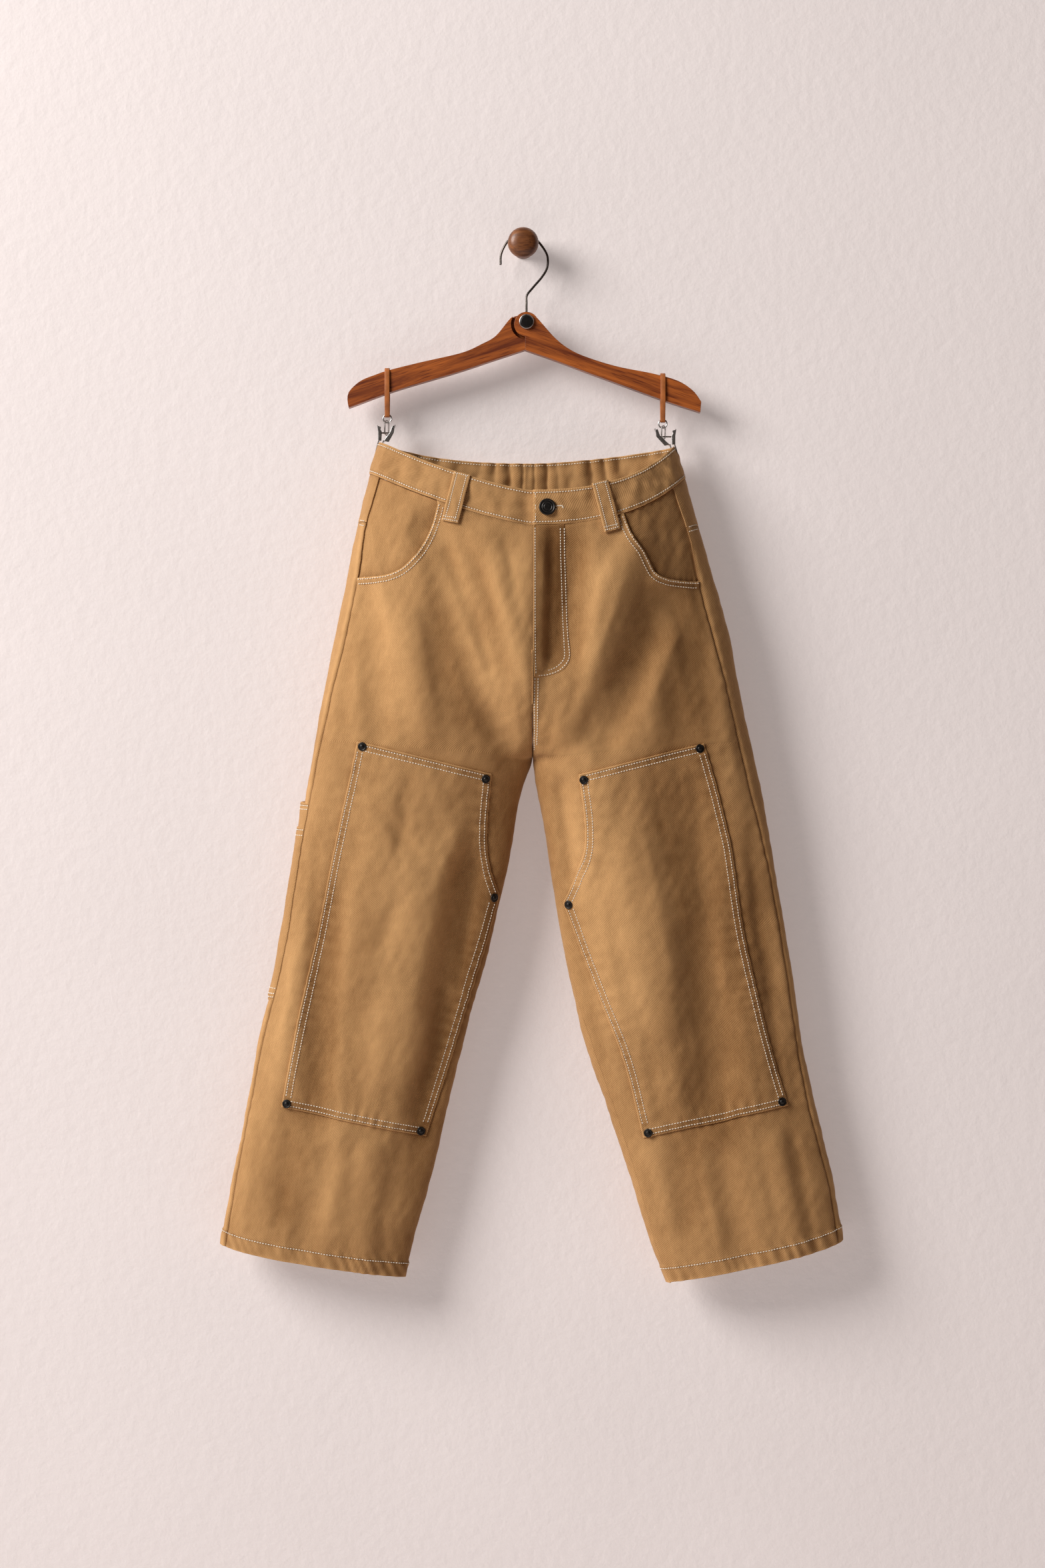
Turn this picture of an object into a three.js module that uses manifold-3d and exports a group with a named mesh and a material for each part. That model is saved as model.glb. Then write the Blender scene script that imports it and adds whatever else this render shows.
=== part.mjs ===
// Carpenter pants of cotton twill, clipped to a folding wooden hanger on a wall knob.
// Millimetres, +Z up, +X to the right as seen from the front, -Y towards the viewer.
// The origin is the centre of the knob's flat back, on the wall plane y = 0.
// Right and left are the wearer's: the right leg lies at -X.
import * as THREE from 'three';
import { mergeVertices } from 'three/addons/utils/BufferGeometryUtils.js';
import Module from 'manifold-3d';

const wasm = await Module();
wasm.setup();

// Cloth thicknesses and seam gap
const CLOTH = 1.5;
const BAND_CLOTH = 2.4;
const FLY_CLOTH = 1.1;
const BAND_PROUD = 0.8;
const LINING_CLOTH = 1.1;
const GAP = 0.3;
const SEAM = GAP / 2;

// Garment sizes
const CENTRE_X = 10;
const CROTCH_Z = -545;
const CROTCH_RISE = 95;
const CROTCH_SIDE_Z = -527;
const CROTCH_GAP = 0.4;
const CROTCH_GAP_REACH = 30;
const SECTION_POWER = 2.6;
const BAND_SIDE_HEIGHT = 33.5;
const BAND_CENTRE_HEIGHT = 37;
const BAND_BACK_HEIGHT = 34;
const UNDERLAP = 24;
const UNDERLAP_DEPTH = 2.9;
const UNDERLAP_EASE = 22;
const PANEL_COLUMNS = 12;
const FRONT_UPPER_ROWS = 10;
const BACK_UPPER_ROWS = 9;
const LOWER_ROWS = 13;
const HEM_HEIGHT = 16;
const HEM_PROUD = 0.7;
const GATHERS = 10;
const GATHER_STEPS = 4;
const GATHER_DEPTH = 1.5;
const GATHER_FADE = 26;
const LOOP_WIDTH = 17.5;
const LOOP_BOW = 1.4;
const LOOP_HEEL = 0.6;
const RIVET_RADIUS = 4.65;
const BUTTON_RADIUS = 8.75;
const PATCH_LIFT = 0.3;
const LAYER_NEAR = -160;
const LAYER_FAR = -4;

// Hanger and knob sizes
const HANGER_BACK = -20;
const HANGER_THICK = 14;
const HANGER_Y = HANGER_BACK - HANGER_THICK / 2;
const PIVOT = { x: 3.5, z: -85 };
const LOBE_RADIUS = 13;
const JOINT_RADIUS = 16.4;
const HOOK_RADIUS = 1.25;
const STRAP_WIDTH = 5.2;
const STRAP_THICK = 1.2;
const RING_RADIUS = 4.4;
const RING_WIRE = 0.8;
const STRAP_DROP = 50;
const LINK_WIRE = 1.1;
const LINK_HALF_WIDTH = 2.2;
const JAW_SLACK = 0.6;

// Outline of the right leg by height: outer edge, side seam and inner edge
const RIGHT_OUTLINE = [
  { z: -212, outer: -151, seam: -139, inner: CENTRE_X },
  { z: -250, outer: -163, seam: -151, inner: CENTRE_X },
  { z: -300, outer: -175, seam: -165, inner: CENTRE_X },
  { z: -350, outer: -184.5, seam: -172.5, inner: CENTRE_X },
  { z: -420, outer: -199, seam: -186.5, inner: CENTRE_X },
  { z: -480, outer: -210.5, seam: -201, inner: CENTRE_X },
  { z: -545, outer: -222.5, seam: -216, inner: CENTRE_X },
  { z: -575, outer: -227.5, seam: -222, inner: 0.5 },
  { z: -600, outer: -232, seam: -227, inner: -6 },
  { z: -640, outer: -239, seam: -233.5, inner: -12 },
  { z: -680, outer: -245.5, seam: -240, inner: -21 },
  { z: -760, outer: -259, seam: -253.5, inner: -39 },
  { z: -840, outer: -278, seam: -273.5, inner: -62 },
  { z: -920, outer: -293, seam: -289.5, inner: -81 },
  { z: -1000, outer: -309, seam: -304.5, inner: -100.5 },
  { z: -1060, outer: -320, seam: -313.5, inner: -117 },
  { z: -1100, outer: -322, seam: -315, inner: -127 },
];

// Outline of the left leg by height
const LEFT_OUTLINE = [
  { z: -212, outer: 157, seam: 144, inner: CENTRE_X },
  { z: -250, outer: 171, seam: 154, inner: CENTRE_X },
  { z: -300, outer: 186, seam: 171, inner: CENTRE_X },
  { z: -350, outer: 199, seam: 184, inner: CENTRE_X },
  { z: -420, outer: 218, seam: 201, inner: CENTRE_X },
  { z: -480, outer: 230, seam: 215.5, inner: CENTRE_X },
  { z: -545, outer: 243.5, seam: 230.5, inner: CENTRE_X },
  { z: -575, outer: 250, seam: 237, inner: 13 },
  { z: -600, outer: 254.5, seam: 243.5, inner: 18 },
  { z: -640, outer: 262, seam: 253.5, inner: 25 },
  { z: -680, outer: 269, seam: 262.5, inner: 31.5 },
  { z: -760, outer: 282, seam: 276, inner: 45.5 },
  { z: -840, outer: 294, seam: 288, inner: 63 },
  { z: -920, outer: 311, seam: 303, inner: 91 },
  { z: -1000, outer: 329, seam: 323, inner: 117 },
  { z: -1060, outer: 338.5, seam: 332, inner: 136 },
  { z: -1100, outer: 340, seam: 333, inner: 152 },
];

// How far the inseam of the left leg has rolled onto the front, by height
const LEFT_INSEAM = [
  { z: -740, roll: 0 },
  { z: -800, roll: 3 },
  { z: -840, roll: 7.5 },
  { z: -920, roll: 7.5 },
  { z: -1000, roll: 7 },
  { z: -1060, roll: 4.5 },
];

// Depth of the hanging cloth by height: middle plane, swell to the front and to the back
const DEPTHS = [
  { z: -212, middle: -33, front: 57, back: 22 },
  { z: -260, middle: -36, front: 60, back: 25 },
  { z: -340, middle: -39, front: 64, back: 30 },
  { z: -430, middle: -42, front: 62, back: 33 },
  { z: -545, middle: -44, front: 54, back: 35 },
  { z: -650, middle: -43, front: 47, back: 34 },
  { z: -800, middle: -41, front: 42, back: 32 },
  { z: -950, middle: -39, front: 39, back: 30 },
  { z: -1100, middle: -38, front: 37, back: 29 },
];

// Main creases of the front as seen from the front: ends, half width, rise towards the viewer
const FRONT_CREASES = [
  { x0: -94, z0: -308, x1: -15, z1: -535, half: 30, rise: -6.5 },
  { x0: -40, z0: -318, x1: 0, z1: -500, half: 24, rise: 3.5 },
  { x0: -163, z0: -380, x1: -150, z1: -515, half: 22, rise: -4.5 },
  { x0: -125, z0: -400, x1: -100, z1: -520, half: 26, rise: 3.5 },
  { x0: -60, z0: -655, x1: -92, z1: -800, half: 26, rise: -5 },
  { x0: -150, z0: -600, x1: -175, z1: -780, half: 30, rise: 3.5 },
  { x0: -72, z0: -810, x1: -110, z1: -915, half: 20, rise: -4 },
  { x0: -205, z0: -965, x1: -232, z1: -1060, half: 22, rise: -3.5 },
  { x0: -160, z0: -960, x1: -166, z1: -1075, half: 20, rise: 3 },
  { x0: 118, z0: -320, x1: 38, z1: -515, half: 26, rise: 5.5 },
  { x0: 150, z0: -385, x1: 82, z1: -520, half: 30, rise: -7 },
  { x0: 40, z0: -575, x1: 50, z1: -665, half: 16, rise: -6 },
  { x0: 178, z0: -740, x1: 196, z1: -905, half: 32, rise: -6 },
  { x0: 112, z0: -640, x1: 150, z1: -820, half: 30, rise: 4 },
  { x0: 252, z0: -620, x1: 270, z1: -790, half: 18, rise: -3 },
  { x0: 205, z0: -965, x1: 232, z1: -1070, half: 24, rise: -4 },
  { x0: 265, z0: -950, x1: 290, z1: -1055, half: 20, rise: 3 },
];

// Main creases of the back: the rise is away from the wall's side, so it is small
const BACK_CREASES = [
  { x0: -30, z0: -525, x1: -150, z1: -420, half: 26, rise: -5 },
  { x0: 52, z0: -530, x1: 165, z1: -430, half: 26, rise: -5 },
  { x0: -40, z0: -590, x1: -150, z1: -660, half: 24, rise: -5 },
  { x0: 70, z0: -600, x1: 190, z1: -680, half: 24, rise: -4.5 },
  { x0: -95, z0: -720, x1: -220, z1: -760, half: 22, rise: -4 },
  { x0: 105, z0: -745, x1: 225, z1: -720, half: 22, rise: -4 },
  { x0: -185, z0: -830, x1: -215, z1: -1030, half: 26, rise: -4 },
  { x0: 200, z0: -850, x1: 232, z1: -1040, half: 26, rise: -4 },
];

// Knee patches: a row for each level, from the outer edge to the inner edge
const RIGHT_PATCH = [
  { outerX: -173, outerZ: -528, innerX: -33, innerZ: -562 },
  { outerX: -182, outerZ: -570, innerX: -37, innerZ: -608 },
  { outerX: -190, outerZ: -606, innerX: -37, innerZ: -640 },
  { outerX: -196, outerZ: -634, innerX: -33, innerZ: -664 },
  { outerX: -201, outerZ: -657, innerX: -25.5, innerZ: -690 },
  { outerX: -211, outerZ: -704, innerX: -39.5, innerZ: -742 },
  { outerX: -222, outerZ: -756, innerX: -55, innerZ: -793 },
  { outerX: -237.5, outerZ: -830, innerX: -78, innerZ: -869 },
  { outerX: -253, outerZ: -911, innerX: -101, innerZ: -943.5 },
];
const LEFT_PATCH = [
  { outerX: 190, outerZ: -530, innerX: 58.5, innerZ: -562 },
  { outerX: 204, outerZ: -576, innerX: 65, innerZ: -606 },
  { outerX: 213, outerZ: -611, innerX: 65.5, innerZ: -639 },
  { outerX: 219, outerZ: -638, innerX: 58.5, innerZ: -663 },
  { outerX: 222.5, outerZ: -662, innerX: 42.5, innerZ: -697 },
  { outerX: 229, outerZ: -706, innerX: 62, innerZ: -750 },
  { outerX: 239, outerZ: -757, innerX: 82, innerZ: -800 },
  { outerX: 258, outerZ: -836, innerX: 105.5, innerZ: -862 },
  { outerX: 279, outerZ: -910, innerX: 126.5, innerZ: -943.5 },
];

// Rivets at the corners of each patch
const RIGHT_RIVETS = [
  { x: -167.5, z: -533.5 },
  { x: -39.5, z: -567 },
  { x: -31, z: -692 },
  { x: -247.5, z: -907.5 },
  { x: -106.5, z: -938 },
];
const LEFT_RIVETS = [
  { x: 185.5, z: -535.5 },
  { x: 64, z: -567.5 },
  { x: 48.5, z: -699 },
  { x: 272, z: -906 },
  { x: 131.5, z: -938 },
];

// Edge of each hip pocket's mouth, from the waistband to the side seam
const RIGHT_MOUTH = [
  { x: -84, z: -262 },
  { x: -89, z: -283 },
  { x: -95, z: -304 },
  { x: -102, z: -319 },
  { x: -112, z: -334 },
  { x: -124.5, z: -346.5 },
  { x: -137, z: -353 },
  { x: -153, z: -356 },
  { x: -200, z: -358 },
];
const LEFT_MOUTH = [
  { x: 96, z: -270 },
  { x: 105, z: -294 },
  { x: 114, z: -314 },
  { x: 125, z: -329 },
  { x: 132, z: -343 },
  { x: 139, z: -353 },
  { x: 150, z: -358 },
  { x: 165, z: -360 },
  { x: 212, z: -360 },
];

// Inner edge of the pocket piece that shows behind each mouth, by height
const RIGHT_FACING = [
  { z: -262, x: -74 },
  { z: -300, x: -83 },
  { z: -330, x: -96 },
  { z: -350, x: -114 },
  { z: -370, x: -138 },
];
const LEFT_FACING = [
  { z: -262, x: 86 },
  { z: -300, x: 96 },
  { z: -330, x: 112 },
  { z: -350, x: 124 },
  { z: -372, x: 142 },
];

// Rounded lower end of the fly piece: width from the centre seam by height
const FLY_WIDTH = [
  { z: -300, width: 33 },
  { z: -400, width: 36 },
  { z: -436, width: 38 },
  { z: -449, width: 35 },
  { z: -456, width: 28 },
  { z: -461, width: 13 },
];

const FRONT_LOOPS = [
  { name: 'belt_loop_front_right', leg: 'right', topX: -63, topZ: -249.5, lowX: -75.5, lowZ: -300 },
  { name: 'belt_loop_front_left', leg: 'left', topX: 79.5, topZ: -258, lowX: 92.5, lowZ: -309.5 },
];
const BACK_LOOPS = [
  { name: 'belt_loop_back_right', leg: 'right', x: -92 },
  { name: 'belt_loop_back_centre', leg: 'left', x: CENTRE_X + LOOP_WIDTH / 2 + 0.6 },
  { name: 'belt_loop_back_left', leg: 'left', x: 112 },
];

const COLOURS = {
  twill: { color: 0xb5834b, roughness: 0.92, metalness: 0 },
  lining: { color: 0x9c6f3f, roughness: 0.94, metalness: 0 },
  gunmetal: { color: 0x26262a, roughness: 0.4, metalness: 0.85 },
  wood: { color: 0x8e3d17, roughness: 0.45, metalness: 0 },
  knobWood: { color: 0x5e3220, roughness: 0.5, metalness: 0 },
  steel: { color: 0xb9b6b0, roughness: 0.25, metalness: 1 },
  darkSteel: { color: 0x55504c, roughness: 0.35, metalness: 1 },
  leather: { color: 0xb9622e, roughness: 0.6, metalness: 0 },
};

const LEGS = {
  right: {
    sign: -1, outline: RIGHT_OUTLINE, inseam: null, top: -212, frontDrop: 54.5, frontPower: 1.35,
    backDrop: 19.3, backPower: 2.4, yokeSide: -296, yokeCentre: -335, hem: -1056.5, hemDrop: 36,
  },
  left: {
    sign: 1, outline: LEFT_OUTLINE, inseam: LEFT_INSEAM, top: -216, frontDrop: 50.5, frontPower: 2.4,
    backDrop: 15.3, backPower: 1.5, yokeSide: -300, yokeCentre: -335, hem: -1053.5, hemDrop: 44,
  },
};

// Smooth value of a named column between the rows of a table that runs downwards
function columnAt(table, name, z) {
  const last = table.length - 1;
  if (z >= table[0].z) return table[0][name];
  if (z <= table[last].z) return table[last][name];
  let i = 0;
  while (table[i + 1].z > z) i += 1;
  const a = table[i];
  const b = table[i + 1];
  const before = table[Math.max(i - 1, 0)];
  const after = table[Math.min(i + 2, last)];
  const span = b.z - a.z;
  const slopeA = ((b[name] - before[name]) / (b.z - before.z)) * span;
  const slopeB = ((after[name] - a[name]) / (after.z - a.z)) * span;
  const u = (z - a.z) / span;
  const u2 = u * u;
  const u3 = u2 * u;
  return a[name] * (2 * u3 - 3 * u2 + 1) + slopeA * (u3 - 2 * u2 + u)
    + b[name] * (3 * u2 - 2 * u3) + slopeB * (u3 - u2);
}

const clamp = (value, low, high) => Math.min(Math.max(value, low), high);
const mix = (a, b, u) => a + (b - a) * u;
const ease = (u) => {
  const v = clamp(u, 0, 1);
  return v * v * (3 - 2 * v);
};

// How open the body is at the centre seam: 0 at the crotch, 1 a hand's width above it
function openness(z) {
  if (z < CROTCH_Z) return 0;
  const u = clamp((z - CROTCH_Z) / CROTCH_RISE, 0, 1);
  return clamp(Math.sqrt(1 - (1 - u) * (1 - u)) + 0.004, 0, 1);
}

function innerEdge(leg, z) {
  if (z >= CROTCH_Z) return CENTRE_X + leg.sign * SEAM;
  return columnAt(leg.outline, 'inner', z) + leg.sign * SEAM;
}

function outerEdge(leg, z) {
  return columnAt(leg.outline, 'outer', z);
}

// Rise of the creases at a point seen from the front
function creaseRise(creases, x, z) {
  let rise = 0;
  for (const crease of creases) {
    const dx = crease.x1 - crease.x0;
    const dz = crease.z1 - crease.z0;
    const along = clamp(((x - crease.x0) * dx + (z - crease.z0) * dz) / (dx * dx + dz * dz), 0, 1);
    const offX = x - (crease.x0 + dx * along);
    const offZ = z - (crease.z0 + dz * along);
    const off = (offX * offX + offZ * offZ) / (crease.half * crease.half);
    if (off < 1) rise += crease.rise * (1 - off) * (1 - off);
  }
  return rise;
}

// A point of the cloth's outer surface: q runs from the inner edge 0 to the outer edge 1
function surfacePoint(leg, back, q, z) {
  const open = openness(z);
  const x = mix(innerEdge(leg, z), outerEdge(leg, z), q);
  const outerRound = Math.pow(Math.max(1 - Math.pow(q, SECTION_POWER), 0), 1 / SECTION_POWER);
  const innerRound = Math.pow(Math.max(1 - Math.pow(1 - q, SECTION_POWER), 0), 1 / SECTION_POWER);
  const round = outerRound * mix(innerRound, 1, open);
  const fade = ease((1 - q) / 0.14) * mix(ease(q / 0.14), 1, open);
  const middle = columnAt(DEPTHS, 'middle', z);
  if (back) {
    const rise = creaseRise(BACK_CREASES, x, z) * fade;
    return new THREE.Vector3(x, middle + columnAt(DEPTHS, 'back', z) * round + rise, z);
  }
  const rise = creaseRise(FRONT_CREASES, x, z) * fade;
  return new THREE.Vector3(x, middle - columnAt(DEPTHS, 'front', z) * round - rise, z);
}

// The same surface by s, which runs round a leg: 0 inner edge, 0.5 outer edge, 1 inner edge again
function roundPoint(leg, s, z) {
  let turn = s;
  if (z < CROTCH_Z) turn = s - Math.floor(s);
  turn = clamp(turn, 0, 1);
  const back = turn > 0.5;
  const t = back ? 2 * (1 - turn) : 2 * turn;
  return surfacePoint(leg, back, (1 - Math.cos(Math.PI * t)) / 2, z);
}

const roundOf = (q, back) => {
  const s = Math.acos(1 - 2 * clamp(q, 0, 1)) / (2 * Math.PI);
  return back ? 1 - s : s;
};

// Outward normal of the cloth's outer surface
function roundNormal(leg, s, z) {
  const stepZ = 2;
  const stepS = 0.006;
  const alongZ = roundPoint(leg, s, z + stepZ);
  if (z >= CROTCH_Z && (s <= 0 || s >= 1)) {
    const up = alongZ.sub(roundPoint(leg, s, z));
    const normal = s <= 0 ? new THREE.Vector3(0, -up.z, up.y) : new THREE.Vector3(0, up.z, -up.y);
    return normal.normalize();
  }
  alongZ.sub(roundPoint(leg, s, z - stepZ));
  const alongS = roundPoint(leg, s + stepS, z).sub(roundPoint(leg, s - stepS, z));
  return alongS.cross(alongZ).multiplyScalar(leg.sign).normalize();
}

// A point moved out from the surface by lift
function liftedPoint(leg, s, z, lift) {
  return roundPoint(leg, s, z).addScaledVector(roundNormal(leg, s, z), lift);
}

// Position across at a given x on the front or back
function roundAtX(leg, x, z, back) {
  const inner = innerEdge(leg, z);
  const q = (x - inner) / (outerEdge(leg, z) - inner);
  return roundOf(clamp(q, 0, 1), back);
}

function seamAt(leg, z) {
  return roundAtX(leg, columnAt(leg.outline, 'seam', z), z, false);
}

function inseamAt(leg, z) {
  if (!leg.inseam || z > leg.inseam[0].z) return 0;
  const roll = columnAt(leg.inseam, 'roll', z);
  return roundOf(roll / Math.abs(outerEdge(leg, z) - innerEdge(leg, z)), false);
}

// Step in s that moves a point by the given distance round the leg
function stepFor(leg, s, z, distance) {
  const probe = 0.004;
  return (distance * probe) / roundPoint(leg, s + probe, z).distanceTo(roundPoint(leg, s, z));
}

// Position reached after walking a distance round the leg from s
function walkRound(leg, s, z, distance) {
  const step = 0.002;
  let here = s;
  let walked = 0;
  let point = roundPoint(leg, here, z);
  while (walked < distance) {
    const next = roundPoint(leg, here + step, z);
    walked += next.distanceTo(point);
    point = next;
    here += step;
  }
  return here;
}

// Share of the width from the side towards the centre, for the slant of a row
const sideShare = (s) => (1 + Math.cos(2 * Math.PI * s)) / 2;

function bandTop(leg, s) {
  const q = 1 - sideShare(s);
  const back = s > 0.5;
  const drop = back ? leg.backDrop : leg.frontDrop;
  const power = back ? leg.backPower : leg.frontPower;
  return leg.top - drop * (1 - Math.pow(q, power));
}

function bandBottom(leg, s) {
  const centre = s > 0.5 ? BAND_BACK_HEIGHT : BAND_CENTRE_HEIGHT;
  return bandTop(leg, s) - mix(BAND_SIDE_HEIGHT, centre, sideShare(s));
}

function yokeLine(leg, s) {
  return mix(leg.yokeSide, leg.yokeCentre, sideShare(s));
}

function hemLine(leg, s) {
  return leg.hem - leg.hemDrop * Math.pow(sideShare(s), 0.75);
}

// Spread of s across a row, so that columns crowd only where the cloth turns
function spreadAt(s, z) {
  const open = openness(z);
  const back = s > 0.5;
  const t = back ? 2 * (1 - s) : 2 * s;
  const q = mix((1 - Math.cos(Math.PI * t)) / 2, Math.sin((Math.PI * t) / 2), open);
  return roundOf(q, back);
}

// Closed solid from matching outer and inner grids of points
function wallGeometry(outer, inner) {
  const rows = outer.length;
  const columns = outer[0].length;
  const positions = [];
  for (const grid of [outer, inner]) {
    for (const row of grid) {
      for (const point of row) positions.push(point.x, point.y, point.z);
    }
  }
  const index = [];
  const outerAt = (j, i) => j * columns + i;
  const innerAt = (j, i) => rows * columns + j * columns + i;
  const quad = (a, b, c, d) => index.push(a, b, c, a, c, d);
  for (let j = 0; j < rows - 1; j += 1) {
    for (let i = 0; i < columns - 1; i += 1) {
      quad(outerAt(j, i), outerAt(j + 1, i), outerAt(j + 1, i + 1), outerAt(j, i + 1));
      quad(innerAt(j, i), innerAt(j, i + 1), innerAt(j + 1, i + 1), innerAt(j + 1, i));
    }
  }
  for (let j = 0; j < rows - 1; j += 1) {
    quad(outerAt(j, 0), innerAt(j, 0), innerAt(j + 1, 0), outerAt(j + 1, 0));
    const e = columns - 1;
    quad(outerAt(j, e), outerAt(j + 1, e), innerAt(j + 1, e), innerAt(j, e));
  }
  for (let i = 0; i < columns - 1; i += 1) {
    quad(outerAt(0, i), outerAt(0, i + 1), innerAt(0, i + 1), innerAt(0, i));
    const e = rows - 1;
    quad(outerAt(e, i), innerAt(e, i), innerAt(e, i + 1), outerAt(e, i + 1));
  }
  const geometry = new THREE.BufferGeometry();
  geometry.setAttribute('position', new THREE.Float32BufferAttribute(positions, 3));
  geometry.setIndex(index);
  return facingOut(geometry);
}

// The geometry with its faces turned outwards
function facingOut(geometry) {
  const position = geometry.getAttribute('position');
  const index = geometry.getIndex().array;
  const a = new THREE.Vector3();
  const b = new THREE.Vector3();
  const c = new THREE.Vector3();
  let volume = 0;
  for (let i = 0; i < index.length; i += 3) {
    a.fromBufferAttribute(position, index[i]);
    b.fromBufferAttribute(position, index[i + 1]);
    c.fromBufferAttribute(position, index[i + 2]);
    volume += a.dot(b.cross(c));
  }
  if (volume < 0) {
    for (let i = 0; i < index.length; i += 3) {
      const swap = index[i];
      index[i] = index[i + 1];
      index[i + 1] = swap;
    }
  }
  return geometry;
}

// A closed geometry with only its shared points left
function welded(geometry) {
  const bare = geometry.clone();
  bare.deleteAttribute('normal');
  bare.deleteAttribute('uv');
  return facingOut(mergeVertices(bare, 1e-4));
}

function toSolid(geometry) {
  const bare = welded(geometry);
  const vertProperties = new Float32Array(bare.getAttribute('position').array);
  const triVerts = new Uint32Array(bare.getIndex().array);
  return new wasm.Manifold(new wasm.Mesh({ numProp: 3, vertProperties, triVerts }));
}

function fromSolid(solid) {
  const mesh = solid.getMesh();
  const geometry = new THREE.BufferGeometry();
  geometry.setAttribute('position', new THREE.Float32BufferAttribute(mesh.vertProperties, 3));
  geometry.setIndex(Array.from(mesh.triVerts));
  return geometry;
}

const garment = new THREE.Group();

function addPiece(name, geometry, look) {
  const mesh = new THREE.Mesh(geometry, new THREE.MeshStandardMaterial(COLOURS[look]));
  mesh.name = name;
  garment.add(mesh);
  return mesh;
}

// Heights of a panel's rows at the side, crowded above the crotch and at the hem
function panelRows(leg, back, topNominal) {
  const upperRows = back ? BACK_UPPER_ROWS : FRONT_UPPER_ROWS;
  const rows = [];
  for (let j = 0; j <= upperRows; j += 1) {
    const u = 1 - j / upperRows;
    rows.push(mix(CROTCH_SIDE_Z, topNominal, u * u));
  }
  const hemTurn = leg.hem + HEM_HEIGHT;
  for (let j = 1; j <= LOWER_ROWS; j += 1) rows.push(mix(CROTCH_SIDE_Z, hemTurn + 1, j / LOWER_ROWS));
  rows.push(hemTurn, leg.hem);
  return rows;
}

// Height at s on the row of a given side height, which slants towards the centre
function slanted(leg, back, s, nominal, topNominal) {
  const crotchSlant = (CROTCH_Z - CROTCH_SIDE_Z) * sideShare(s);
  if (nominal < CROTCH_SIDE_Z) {
    const down = (CROTCH_SIDE_Z - nominal) / (CROTCH_SIDE_Z - leg.hem);
    return nominal + mix(crotchSlant, hemLine(leg, s) - leg.hem, ease(down * 1.3));
  }
  const down = (topNominal - nominal) / (topNominal - CROTCH_SIDE_Z);
  const topSlant = back ? yokeLine(leg, s) - leg.yokeSide : bandBottom(leg, s) - bandBottom(leg, 0.5);
  return nominal + mix(topSlant, crotchSlant, ease(down * 1.3));
}

// Front or back panel of a leg as a wall between two lifts, with its hem turned up
function panelGeometry(leg, back, liftOut = 0, liftIn = -CLOTH) {
  const columns = PANEL_COLUMNS;
  const topNominal = (back ? leg.yokeSide : bandBottom(leg, 0.5)) - GAP;
  const rows = panelRows(leg, back, topNominal);
  const outer = [];
  const inner = [];
  for (const nominal of rows) {
    const endZ = slanted(leg, back, back ? 1 : 0, nominal, topNominal);
    const outerRow = [];
    const innerRow = [];
    let seam = 0.47;
    for (let i = 0; i < 6; i += 1) {
      const z = slanted(leg, back, seam, nominal, topNominal);
      seam = seamAt(leg, z);
    }
    const seamGap = stepFor(leg, seam, endZ, SEAM);
    const nearCrotch = ease(1 - Math.abs(endZ - CROTCH_Z) / CROTCH_GAP_REACH);
    const legGap = SEAM + CROTCH_GAP * nearCrotch;
    const inseamGap = endZ < CROTCH_Z + 0.01 ? stepFor(leg, 0.001, endZ - 0.02, legGap) : 0;
    const inseam = inseamAt(leg, endZ);
    const from = back ? seam + seamGap : inseam + inseamGap;
    const to = back ? 1 + inseam - inseamGap : seam - seamGap;
    for (let i = 0; i <= columns; i += 1) {
      const even = mix(back ? 0.5 : 0, back ? 1 : 0.5, i / columns);
      const spread = spreadAt(even, endZ);
      const u = back ? (spread - 0.5) * 2 : spread * 2;
      const s = mix(from, to, u);
      const z = slanted(leg, back, clamp(s, 0, 1), nominal, topNominal);
      const extra = nominal <= leg.hem + HEM_HEIGHT ? HEM_PROUD : 0;
      outerRow.push(liftedPoint(leg, s, z, liftOut + extra));
      innerRow.push(liftedPoint(leg, s, z, liftIn));
    }
    outer.push(outerRow);
    inner.push(innerRow);
  }
  return wallGeometry(outer, inner);
}

// Prism through the front that cuts the hip pocket's mouth
function mouthCutter(leg, mouth) {
  const shape = new THREE.Shape();
  const sideX = leg.sign * 260;
  shape.moveTo(mouth[0].x, mouth[0].z);
  const curve = new THREE.SplineCurve(mouth.map((row) => new THREE.Vector2(row.x, row.z)));
  for (const point of curve.getPoints(16).slice(1)) shape.lineTo(point.x, point.y);
  shape.lineTo(sideX, mouth[mouth.length - 1].z);
  shape.lineTo(sideX, -180);
  shape.lineTo(mouth[0].x, -180);
  const geometry = new THREE.ExtrudeGeometry(shape, { depth: 140, bevelEnabled: false });
  geometry.rotateX(Math.PI / 2);
  geometry.translate(0, -28, 0);
  return geometry;
}

function makeFront(name, leg, mouth) {
  const whole = toSolid(panelGeometry(leg, false));
  const cut = whole.subtract(toSolid(mouthCutter(leg, mouth)));
  addPiece(name, fromSolid(cut), 'twill');
}

// Gathers of the elastic at the back: rise at s, faded out at the side
function gatherRise(leg, s, below) {
  if (s <= 0.54) return 0;
  const u = (s - 0.54) / 0.46;
  const uneven = u + 0.018 * Math.sin(9 * u + leg.sign) + 0.01 * Math.sin(23 * u);
  const fade = ease((s - 0.54) / 0.06) * (1 - ease(below / GATHER_FADE));
  return GATHER_DEPTH * Math.sin(2 * Math.PI * GATHERS * uneven) * fade;
}

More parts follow.
